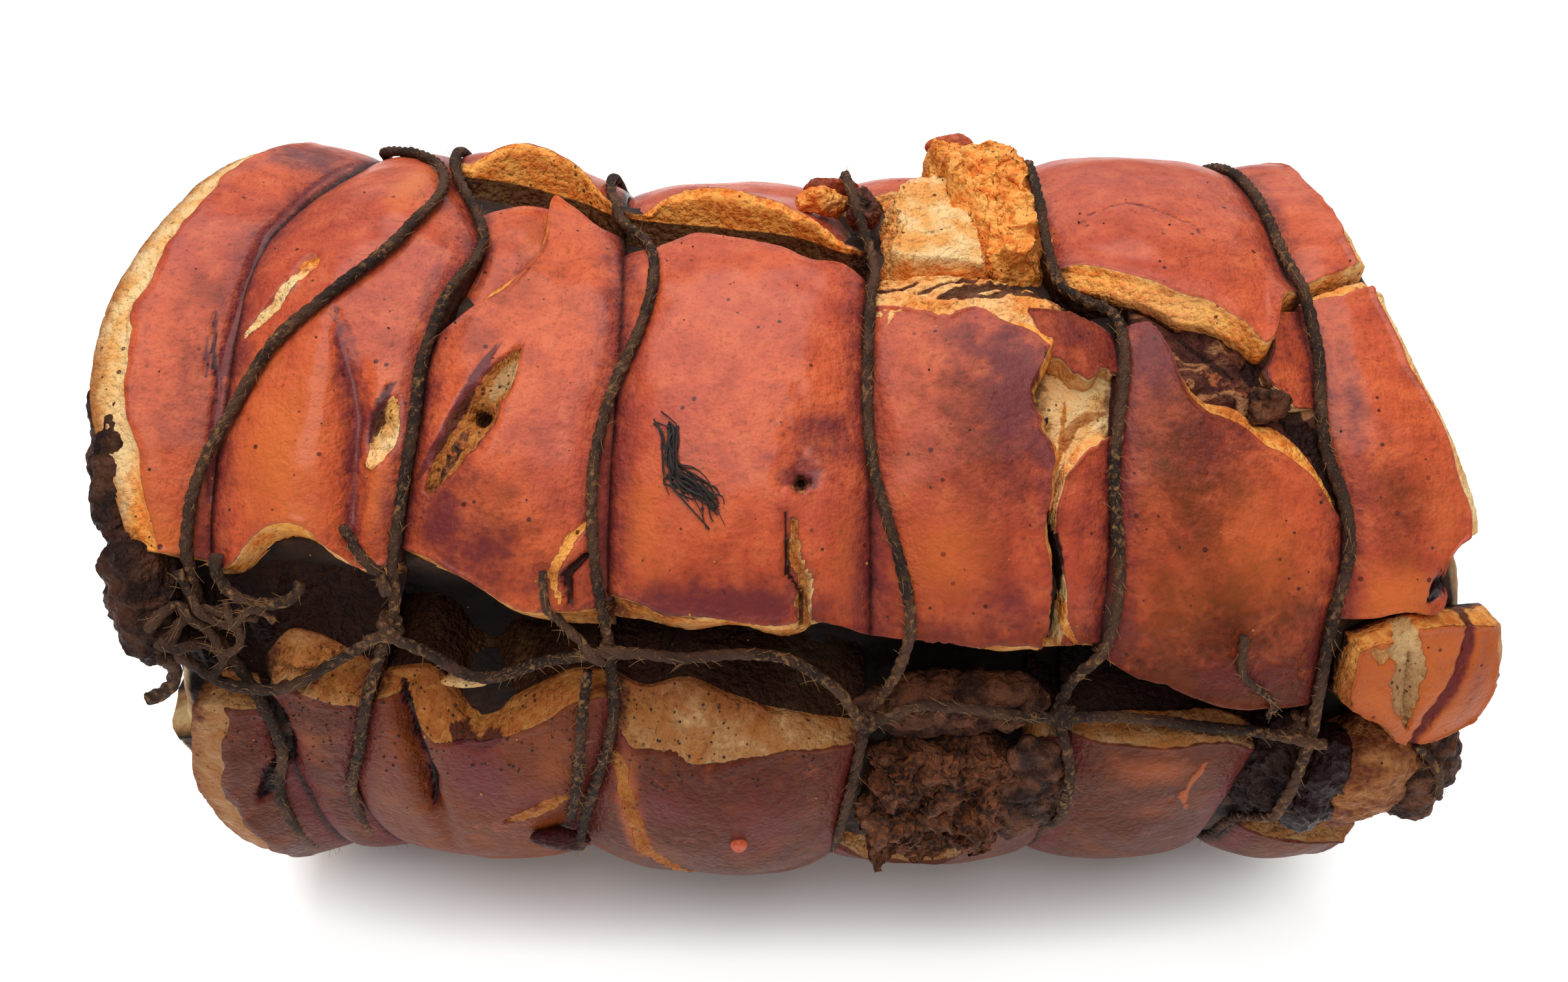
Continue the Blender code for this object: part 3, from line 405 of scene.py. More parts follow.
FIFTH_LINE = [(10, 70), (40, 71.5), (50, 72.5), (60, 75), (66, 75.5), (70, 66), (75, 63.5), (90, 63.5)]
FIFTH_LINE += [(180, 62), (270, 64), (350, 67.4), (360, 66.6), (368, 63)]
SIXTH_LINE = [(5, 121), (20, 119.5), (30, 121), (40, 121), (50, 118), (70, 117.5), (90, 119.3)]
SIXTH_LINE += [(180, 121), (240, 118), (300, 117), (330, 112), (350, 111), (366, 112)]
RIGHT_RIM = [(20, 155), (27, 153), (31, 150), (36, 152), (45, 148), (60, 140), (70, 138), (90, 138)]
RIGHT_RIM += [(110, 140), (180, 146), (270, 148), (330, 150)]
FRONT_CRACK = [(18, 58), (24, 58.5), (30, 59), (38, 56.5), (42, 58.3), (45, 60), (48.5, 56.5), (53, 54.3),
               (58, 58.7)]
FRONT_CRACK += [(61, 61)]

SHAPES = {
    "left_end": Shape(
        left=LEFT_RIM, right=FIRST_CREASE, left_rim=8.0, side_fall=0.25, rough=-0.25, ragged=0.6,
        low=[(0, 32, 3), (0.5, 31.5, 3), (1, 30, 3)],
        high=[(0, 374, 6), (0.5, 374, 6), (1, 372, 6)],
        swell=[(30, 0), (60, 0.5), (105, -0.5), (180, 0), (376, 0)],
    ),
    "left_saddle": Shape(
        left=FIRST_CREASE, right=SECOND_LINE, high_tone=0.5, rough=2.4,
        low=[(0, 29.5, 3), (0.15, 30, 3), (0.28, 33, 4), (0.4, 34.3, 4), (0.53, 34, 4), (0.68, 31.5, 3),
             (0.8, 29.5, 3), (1, 29.5, 3)],
        high=[(0, 377, 9), (0.25, 381.5, 12), (0.45, 381, 13), (0.75, 377.5, 10), (1, 375, 8)],
        swell=[(30, 2), (50, 1.5), (80, 0), (100, -1.5), (130, 0), (376, 0)],
        dents=[(-93, 45, 4, 16, 3.0)],
    ),
    "lip_one": Shape(
        left=SECOND_LINE, right=THIRD_LINE, low_tone=1.0, high_tone=0.75, low_lift=(7.0, 18.0), low_fall=0.2,
        low=[(0, 97.5, 2), (0.2, 99, 3), (0.5, 99.5, 3), (0.75, 98, 3), (0.9, 94, 3), (1, 91, 3)],
        high=[(0, 374, 5), (0.12, 375, 6), (0.21, 375, 11), (0.32, 371.5, 11), (0.43, 367.3, 2.5),
              (0.49, 367, 2.5), (0.57, 369, 5), (0.69, 372, 6), (0.81, 374.5, 5), (1, 374.4, 4)],
        swell=[(90, 0.5), (105, 0), (376, 0)],
        dents=[(-86, 362, 2.5, 22, 5.0), (-64, 100, 13, 9, -2.8), (-80, 98, 5, 9, 3.0), (-45, 99, 6, 9, 3.5)],
        meat_wall=0.0, rough=1.0, tints={"amber": 0.3},
    ),
    "lower_layer": Shape(
        left=[(60, -79), (70, -76), (80, -74), (90, -77)],
        right=[(60, -71), (70, -65), (80, -57), (90, -52)],
        low=[(0, 61, 1), (1, 61, 1)],
        high=[(0, 90.5, 2), (0.3, 92.5, 2), (0.6, 94.5, 2), (1, 95, 2)],
        swell=[(0, -2.0), (180, -2.0)],
        tints={"plum": 0.35},
    ),
    "second_front": Shape(
        left=SECOND_LINE, right=THIRD_LINE, high_fall=0.3, high_tone=0.8,
        low=[(0, 32.5, 2), (0.15, 31, 3), (0.35, 28, 3), (0.55, 24, 4), (0.75, 22.3, 6), (1, 22.3, 6)],
        high=[(0, 62, 1), (0.1, 65, 2.5), (0.2, 70.5, 6), (0.37, 77, 8), (0.43, 82, 9), (0.48, 88, 10),
              (0.52, 94, 8), (0.56, 97.5, 5), (0.66, 95.5, 4), (0.82, 90, 3), (1, 88, 2)],
        swell=[(20, 0.5), (45, 0.5), (80, 0), (100, -1)],
    ),
    "lip_two": Shape(
        left=THIRD_LINE, right=FOURTH_LINE, low_tone=1.0, low_fall=0.3, meat_wall=0.0, rough=1.2,
        low=[(0, 93, 3), (0.15, 91, 4), (0.35, 89.5, 4), (0.55, 87.5, 4), (0.8, 84, 4), (0.92, 81, 3),
             (1, 79.5, 3)],
        dents=[(-14, 92, 18, 9, -4.0), (-38, 93, 6, 9, 3.0), (15, 84, 6, 9, 3.0)],
        high=[(0, 375, 10), (0.1, 372.5, 13), (0.3, 373.5, 15), (0.5, 370, 11), (0.7, 368, 4),
              (0.9, 365.5, 2), (1, 365, 2)],
        swell=[(80, -1.5), (100, -3.5), (140, -1), (180, 0), (376, 0)],
        low_lift=(7.0, 18.0),
    ),
    "third_front": Shape(
        left=THIRD_LINE, right=FOURTH_LINE, high_fall=0.3, high_tone=0.8,
        low=[(0, 24, 6), (0.3, 22, 6), (0.5, 22.5, 4), (0.75, 21.8, 5), (0.8, 23, 3), (1, 21, 2)],
        high=[(0, 82, 1.2), (0.22, 83, 1.5), (0.32, 84.5, 1.5), (0.44, 84, 1.5), (0.56, 82, 2),
              (0.65, 81, 2.5), (0.73, 78.5, 2), (0.77, 77.5, 1.5), (0.9, 77.5, 1.5), (1, 75, 1.2)],
        swell=[(20, 1.0), (50, 1.0), (85, -0.5)],
    ),
    "shard_back": Shape(
        left=FOURTH_LINE, right=FIFTH_LINE,
        low=[(0, 98, 3), (0.5, 103, 3), (1, 97, 3)],
        high=[(0, 335, 3), (0.6, 333, 3), (0.72, 350, 3), (0.8, 362, 3), (1, 364, 2)],
        swell=[(90, -2), (140, 0), (364, 0)],
    ),
    "crackling": Shape(
        left=[(74, 50), (84, 44), (95, 40), (112, 37)],
        right=[(74, 60), (84, 62.5), (98, 64), (112, 60)],
        low=[(0, 76, 3), (0.4, 75, 3), (1, 74, 3)],
        high=[(0, 110, 5), (0.25, 112, 5), (0.5, 108, 5), (0.75, 101.5, 4), (1, 95, 5)],
        swell=[(74, -1), (86, 4), (98, 10.5), (106, 8), (113, 3)],
        thick=16.0, left_rim=3.0, right_rim=3.0, side_fall=0.6, pitch=0.45, rough=1.3, ragged=2.6,
        crumple=1.9, tints={"fat": 1.0, "amber": 0.72},
    ),
    "fat_chunk": Shape(
        left=[(74, 22.5), (86, 24), (99, 27)],
        right=[(74, 51), (84, 47), (99, 44)],
        low=[(0, 76, 3), (1, 75, 3)],
        high=[(0, 97, 5), (0.5, 101, 5), (1, 104, 5)],
        swell=[(74, -2), (86, 2), (95, 4), (100, 3)],
        thick=14.0, left_rim=3.0, right_rim=2.0, side_fall=0.6, pitch=0.5, rough=-0.25, ragged=1.8,
        crumple=1.1, low_tone=0.6, high_tone=0.1, side_tone=0.5, tints={"fat": 1.0, "amber": 0.2},
    ),
    "torn_meat": Shape(
        left=[(330, 19.5), (362, 20.5)],
        right=[(330, 53), (364, 54)],
        low=[(0, 334, 5), (1, 336, 5)],
        high=[(0, 362, 4), (0.5, 363.5, 4), (1, 363, 4)],
        swell=[(330, 0), (348, 3.5), (364, 1)],
        thick=13.0, left_rim=4.0, right_rim=3.0, side_fall=0.6, pitch=0.45, rough=2.0, ragged=1.6,
        crumple=2.6, tints={"meat": 1.0, "amber": 0.45},
    ),
    "fourth_front": Shape(
        left=FOURTH_LINE, right=FRONT_CRACK, high_fall=0.25, high_tone=0.85, right_rim=1.3, side_fall=0.3,
        low=[(0, 20.5, 2), (0.5, 20.5, 2), (0.75, 19, 5), (1, 18.5, 4)],
        high=[(0, 71, 2), (0.12, 70, 2.5), (0.26, 68.5, 3), (0.43, 67, 3), (0.6, 67.5, 3), (0.74, 65.5, 4),
              (0.88, 63.5, 4), (1, 60.5, 3)],
        swell=[(20, 1.0), (60, 1.0), (77, -1)],
        side_tone=0.8, ragged=1.5,
    ),
    "fourth_strip": Shape(
        left=[(10, 59.2), (18, 58.9), (30, 59.8), (38, 57.2), (42, 59.1), (46, 60.5)],
        right=[(10, 70.5), (40, 71.5), (50, 73), (68, 76)],
        low=[(0, 19, 4), (0.5, 18.5, 3), (1, 18.3, 3)],
        high=[(0, 43, 2), (0.13, 44.5, 2.5), (0.33, 47, 3), (0.6, 49, 3), (0.87, 50, 2.5), (1, 50, 2)],
        swell=[(18, 0), (44, -0.5), (52, -1.5)],
        high_fall=0.3, left_rim=1.2, side_fall=0.5, ragged=1.3, high_tone=0.5,
    ),
    "strip_top": Shape(
        left=[(50, 59), (57, 58.5), (63, 55), (70, 55)],
        right=[(50, 73), (60, 76), (68, 72)],
        low=[(0, 57, 1.2), (0.15, 56.5, 1.5), (0.25, 54.6, 1.4), (0.33, 54.4, 1.2), (0.45, 53.4, 1.3),
             (0.62, 55.0, 1.5), (0.8, 54.6, 1.3), (1, 55.3, 1.2)],
        high=[(0, 67.5, 1.2), (0.33, 68, 1.2), (0.78, 67.3, 1.2), (1, 65, 1.2)],
        swell=[(54, 0.6), (58, -0.4), (68, -1.0)],
        left_rim=0.6, ragged=2.4, low_tone=0.5, low_fall=0.5, tints={"plum": 0.3, "brown": 0.5},
    ),
    "gash_fat": Shape(
        left=[(38, 55.5), (60, 55.5)],
        right=[(38, 72), (60, 73)],
        low=[(0, 40, 1), (1, 41, 1)],
        high=[(0, 60, 1), (1, 60, 1)],
        swell=[(0, -3.2), (180, -3.2)],
        thick=8.0, pitch=0.45, rough=1.0, ragged=1.0, side_tone=0.1,
        tints={"fat": 1.0, "pale": 0.15, "amber": 0.1},
    ),
    "top_fat": Shape(
        left=[(60, 19), (80, 19)],
        right=[(60, 64), (80, 65)],
        low=[(0, 63, 1), (1, 60, 1)],
        high=[(0, 75.8, 2.5), (0.35, 74.8, 2.5), (0.63, 73.7, 2), (0.8, 72.3, 2), (1, 70, 2)],
        swell=[(0, -1.2), (70, -0.6), (78, -1.5)],
        thick=9.0, pitch=0.45, rough=0.9, ragged=1.6, tints={"fat": 1.0, "amber": 0.45},
    ),
    "top_right": Shape(
        left=[(60, 66), (70, 66), (75, 63.5), (90, 63.5), (180, 62), (270, 64), (350, 67.4), (368, 66)],
        low=[(0, 72.5, 4), (0.12, 70, 6), (0.21, 68, 5.5), (0.35, 66, 5.5), (0.42, 64, 5), (0.56, 63, 4),
             (0.69, 60.5, 3), (0.76, 58.5, 2), (0.82, 60.5, 1.5), (0.89, 66.5, 1.2), (1, 68, 1.2)],
        high=[(0, 366, 3), (0.5, 365.5, 3), (0.85, 365, 3), (1, 362, 4)],
        swell=[(60, 0.5), (100, 0.5), (180, 0), (366, 0)],
        right=SIXTH_LINE, low_fall=0.55, low_tone=0.9, low_lift=(4.0, 16.0),
    ),
    "tongue": Shape(
        left=[(49, 112), (52, 110), (56, 105), (60.5, 108), (67, 109)],
        right=[(49, 117), (55, 119), (69, 119)],
        low=[(0, 50.5, 1.5), (1, 50.5, 1.5)],
        high=[(0, 67, 1.5), (1, 68.5, 1.5)],
        swell=[(0, -0.8), (180, -0.8)],
        left_rim=1.6, side_fall=0.5, side_tone=0.6, tints={"brown": 0.3, "plum": 0.2},
    ),
    "fifth_front": Shape(
        left=FIFTH_LINE, right=SIXTH_LINE, high_fall=0.3, high_tone=0.8, rough=0.25,
        low=[(0, 18.3, 2), (0.12, 15.5, 2), (0.3, 13.5, 3), (0.5, 11, 3), (0.9, 10, 2), (1, 10, 2)],
        high=[(0, 64.5, 1), (0.18, 64, 1.2), (0.26, 61, 3), (0.33, 56, 4), (0.4, 53, 3.5), (0.47, 52, 3.5),
              (0.58, 51, 4.5), (0.65, 49.3, 5), (0.73, 49, 6), (0.8, 47.5, 6.5), (0.87, 45, 6),
              (0.92, 42, 5.5), (1, 38.5, 4)],
        swell=[(10, 0.5), (65, 0.5)],
    ),
    "right_end_back": Shape(
        left=[(70, 117.5), (90, 119.3), (180, 121), (270, 120), (340, 119)],
        low=[(0, 70.6, 0.8), (0.5, 72.3, 0.8), (1, 74.8, 0.8)],
        high=[(0, 336, 3), (1, 336, 3)],
        right=RIGHT_RIM, right_rim=3.2, side_fall=0.3,
    ),
    "right_end_front": Shape(
        left=[(20, 120), (30, 121), (40, 121), (50, 118), (70, 117.5)],
        low=[(0, 22, 3), (0.4, 24, 3), (0.7, 26, 3), (0.8, 31, 3), (1, 34, 2)],
        high=[(0, 69.2, 2), (0.4, 70.6, 4), (1, 73, 5)],
        swell=[(20, 0.5), (70, 0)],
        right=RIGHT_RIM, high_fall=0.3, right_rim=3.2, side_fall=0.25,
    ),
    "right_flap": Shape(
        left=[(2, 124.5), (12, 124), (25, 123.2)],
        right=[(2, 160), (8, 164), (17, 163), (25, 157)],
        low=[(0, 11.5, 1), (0.1, 10, 1), (0.3, 6.5, 1.5), (0.42, 4.5, 1.5), (0.55, 3.3, 1.5), (0.71, 2.5, 2),
             (0.88, 4.5, 2), (1, 7, 2)],
        high=[(0, 22, 1.5), (0.25, 24, 2), (0.65, 24.8, 2), (1, 24, 2)],
        swell=[(0, 0.6), (12, 1.8), (25, 0.6)],
        high_fall=0.4, thick=8.0, left_rim=1.0, right_rim=3.5, side_fall=0.35, side_tone=0.35, ragged=1.4,
        tints={"amber": 0.75, "brown": 0.4},
    ),
    "marbled_meat": Shape(
        left=[(42, 80), (66, 80)],
        right=[(42, 119), (66, 117)],
        low=[(0, 44, 2), (1, 36, 2)],
        high=[(0, 69, 2), (1, 66, 2)],
        swell=[(40, -3.6), (70, -3.6)],
        thick=7.0, pitch=0.5, rough=1.2, ragged=1.5, tints={"meat": 1.0, "marbled": 0.5, "plum": 0.6},
    ),
}

# Painted shade: the dark and plum tints of the strokes that sink the surface darken its holes, cracks, folds
# and creases.
STROKES = [
    # Creases pressed by the twine and folds in the rind
    Stroke([(-124.2, 40), (-124.2, 60), (-123.5, 80), (-120, 91), (-115, 105)], 0.7, 0.5, {"plum": 1.0},
           on=("left_end",), ragged=0.2, taper=0.2),
    Stroke([(-124.5, 54), (-126.5, 60), (-127.5, 65)], 0.5, 0.5, {"dark": 0.8, "plum": 0.9},
           on=("left_end",)),
    Stroke([(-126.5, 55), (-128, 61)], 0.5, 0.4, {"dark": 0.6, "plum": 0.9}, on=("left_end",)),
    Stroke([(-99, 64), (-98, 60), (-94.8, 55), (-92.7, 50), (-92.8, 45), (-93, 40), (-93.5, 34)], 1.1, 1.2,
           {"plum": 1.0, "dark": 0.35}, on=("left_saddle",), ragged=0.2),
    Stroke([(-97, 62), (-95, 56), (-92, 50), (-92, 42), (-92.5, 34)], 3.5, 1.0, {"plum": 0.55},
           on=("left_saddle",), ragged=0.2),
    Stroke([(-119.5, 61.5), (-115, 65), (-111, 68.5), (-108, 72)], 2.0, 1.0, {"fat": 1.0, "pale": 0.5},
           on=("left_saddle",), ragged=0.25, sharp=4.0, halo=0.3),
    Stroke([(-108.5, 70), (-107.5, 73.5)], 1.3, 0.6, {"amber": 1.0, "fat": 0.8}, on=("left_saddle",)),
    Stroke([(-88.5, 44), (-86.5, 47.5), (-85, 52)], 2.9, 1.6, {"fat": 1.0, "plum": 0.25}, on=("left_saddle",),
           ragged=0.2, sharp=4.0, halo=0.6),
    Stroke([(-90, 47), (-87.5, 52), (-85.5, 54.5)], 1.2, 0.6, {"dark": 0.7, "plum": 1.0}, on=("left_saddle",),
           ragged=0.2),
    # The gash and the hole in the second panel
    Stroke([(-59.5, 59), (-64, 53.5), (-69, 48), (-76.5, 41)], 4.2, 2.6,
           {"fat": 0.9, "amber": 1.0, "brown": 0.9, "plum": 0.25}, on=("second_front",), ragged=0.2,
           sharp=4.0, halo=0.9, taper=0.8),
    Stroke([(-59.5, 58), (-61.5, 55.5), (-64, 53)], 2.2, 0.0, {"fat": 1.0, "pale": 1.0}, on=("second_front",),
           ragged=0.3, sharp=4.0),
    Stroke([(-68, 49), (-71, 46), (-74, 42.5)], 1.3, -0.9, {"meat": 0.9, "amber": 0.6}, on=("second_front",)),
    Stroke([(-66.2, 50.4)], 2.3, 6.5, {"dark": 1.0}, on=("second_front",), ragged=0.15),
    Stroke([(-63.5, 60), (-68, 55), (-73, 48.5), (-79, 42.5)], 1.2, 0.2, {"plum": 1.0, "dark": 0.5},
           on=("second_front",), ragged=0.3),
    Stroke([(-43, 36.5), (-46, 34.5), (-50, 30.5), (-48.5, 27)], 1.2, 0.9, {"fat": 0.9, "amber": 0.9},
           on=("second_front",), halo=0.4),
    Stroke([(-42, 33), (-47, 30.3), (-46, 26)], 1.3, 2.4, {"dark": 0.85}, on=("second_front",)),
    Stroke([(-60.5, 95), (-60, 89), (-60.5, 83), (-62, 77.5), (-66, 72), (-71, 67)], 1.5, 0.3,
           {"fat": 1.0, "amber": 0.45}, on=("second_front",), ragged=0.5, sharp=4.0, halo=0.3, taper=0.5),
    # The hole and the crack in the third panel
    Stroke([(3.5, 42.5)], 4.0, 1.2, {"plum": 0.8}, on=("third_front",)),
    Stroke([(3.2, 42.2), (3.8, 40.8)], 2.3, 0.2, {"fat": 0.8, "brown": 1.0, "amber": 0.6},
           on=("third_front",), ragged=0.4),
    Stroke([(3.4, 42.2), (3.8, 41.0)], 1.2, 3.5, {"dark": 1.0}, on=("third_front",), ragged=0.2),
    Stroke([(2.0, 37), (2.2, 33), (4.0, 30), (4.5, 26), (6.5, 21)], 1.5, 2.0,
           {"fat": 0.9, "brown": 0.9, "amber": 0.7}, on=("third_front",), ragged=0.8, halo=0.8),
    Stroke([(3.2, 33), (5.5, 30), (5.5, 25.5), (7.2, 21.5)], 0.7, -0.3, {"fat": 1.0, "pale": 0.7},
           on=("third_front",), ragged=0.8),
    Stroke([(0.4, 38), (0.6, 31), (3.8, 28), (3.6, 23)], 0.8, 2.2, {"dark": 0.9}, on=("third_front",)),
    # Torn fat along the fourth panel's top and right
    Stroke([(36, 68.6), (42, 70.2), (49, 71.2), (57, 71.6)], 1.5, 0.9, {"dark": 0.75, "plum": 1.0},
           on=("top_fat",), ragged=0.8, taper=0.4),
    Stroke([(40, 68.3), (47, 69), (52, 70.4), (60, 69.6)], 1.2, 0.8, {"plum": 1.0, "dark": 0.5},
           on=("top_fat",), ragged=1.0),
    Stroke([(30, 69.6), (38, 71.5), (46, 73), (54, 72.6)], 0.7, 0.8, {"plum": 1.0, "dark": 0.5},
           on=("top_fat",), ragged=1.0),
    Stroke([(22, 72.5), (27, 71), (31, 72.2)], 0.7, 0.6, {"plum": 0.8, "brown": 1.0}, on=("top_fat",),
           ragged=0.9),
    Stroke([(61.5, 46.5), (63.5, 49.5), (67, 51), (72, 51.7)], 1.5, 2.2,
           {"brown": 0.9, "plum": 0.45, "amber": 0.5}, on=("gash_fat",), ragged=0.4),
    Stroke([(60.5, 45), (61.5, 49), (62.5, 53)], 0.6, 1.2, {"brown": 0.8, "amber": 0.8}, on=("gash_fat",)),
    Stroke([(55, 54.5), (56.5, 56), (58.5, 55)], 1.2, 1.6, {"brown": 1.0, "plum": 0.5}, on=("gash_fat",)),
    # Streaks of fat in the open meat
    Stroke([(86, 62), (89, 57), (95, 53), (102, 50.5)], 1.6, -0.8, {"fat": 1.0, "brown": 0.5},
           on=("marbled_meat",), ragged=0.7),
    Stroke([(97, 61.5), (101, 59), (105, 55.5)], 1.0, -0.9, {"fat": 1.0, "amber": 0.5}, on=("marbled_meat",),
           ragged=0.6),
    Stroke([(93, 57.5), (98, 54.5), (103, 53.5)], 1.7, -0.5, {"fat": 0.9, "amber": 0.9, "brown": 0.6},
           on=("marbled_meat",), ragged=0.9),
    Stroke([(89, 62.5), (94, 59.5), (100, 56)], 1.0, 0.9, {"dark": 0.9}, on=("marbled_meat",), ragged=0.6),
    Stroke([(104, 57), (109, 52.5), (115, 47), (121, 41)], 3.2, 1.4, {"dark": 1.0}, on=("marbled_meat",),
           ragged=0.4, taper=0.2),
    Stroke([(109, 64), (109, 60), (106, 57), (107.5, 54)], 0.9, 0.7, {"plum": 1.0}, on=("tongue",)),
    Stroke([(54, 35), (56, 31), (59.5, 27), (61, 24), (64.5, 20.5)], 1.1, 1.0, {"fat": 0.9, "amber": 0.7},
           on=("fourth_strip",), halo=0.5),
    Stroke([(56.5, 38), (58.5, 33), (58.8, 27), (57.8, 22)], 1.6, 1.6, {"dark": 1.0, "plum": 1.0},
           on=("fourth_front", "fourth_strip"), ragged=0.5),
    # Fine tears
    Stroke([(139.5, 27), (142, 29.5), (147.5, 30.5)], 1.7, 2.4, {"dark": 1.0, "plum": 1.0},
           on=("right_end_front",), halo=0.5),
    Stroke([(134, 27), (136, 20), (138, 14), (141, 8)], 3.4, 1.8, {"fat": 1.0, "pale": 0.8},
           on=("right_flap",), ragged=0.4, sharp=4.0, taper=0.9),
    Stroke([(128, 21), (130, 19.5), (131.5, 21)], 1.4, 1.2, {"fat": 1.0, "pale": 0.5}, on=("right_flap",)),
    Stroke([(137, 20), (138.5, 14), (141.5, 8)], 0.5, 1.6, {"dark": 0.7, "brown": 1.0}, on=("right_flap",)),
    Stroke([(150.5, 24), (150, 17.5), (147, 11), (145, 4.5)], 1.5, 2.0, {"plum": 1.0, "dark": 0.4},
           on=("right_flap",), halo=0.8, taper=0.2),
    Stroke([(74, 86), (84, 88), (90, 86), (98, 82), (99, 79)], 0.45, 0.4, {"plum": 0.9}, on=("top_right",)),
    Stroke([(-120, 374), (-117, 367), (-119, 358.5), (-125, 352), (-131, 346)], 2.6, 2.5,
           {"dark": 1.0, "plum": 1.0}, on=("left_end", "left_saddle"), ragged=0.5, halo=0.5),
    Stroke([(-87, 373), (-85, 365), (-84, 356.5), (-87, 346)], 1.8, 2.5, {"dark": 0.95, "plum": 1.0},
           on=("lip_one", "left_saddle"), ragged=0.5, halo=0.6),
    Stroke([(-76, 366.5), (-70, 364.5), (-65, 366)], 2.4, 0.5, {"plum": 1.0, "dark": 0.6}, on=("lip_one",)),
    Stroke([(-69, 344.5), (-61, 347), (-53, 350.5)], 2.6, 0.6, {"fat": 1.0, "amber": 0.7}, on=("lip_one",),
           ragged=0.4, sharp=4.0),
    Stroke([(-39, 361.5), (-36.5, 352.5), (-35, 341.5), (-24, 329)], 2.0, 0.4, {"fat": 1.0, "amber": 0.9},
           on=("lip_two",), ragged=0.4, taper=0.2),
    Stroke([(99, 360), (98, 356), (97, 351), (100, 346)], 0.7, -0.4, {"amber": 0.6}, on=("top_right",),
           ragged=1.2),
]
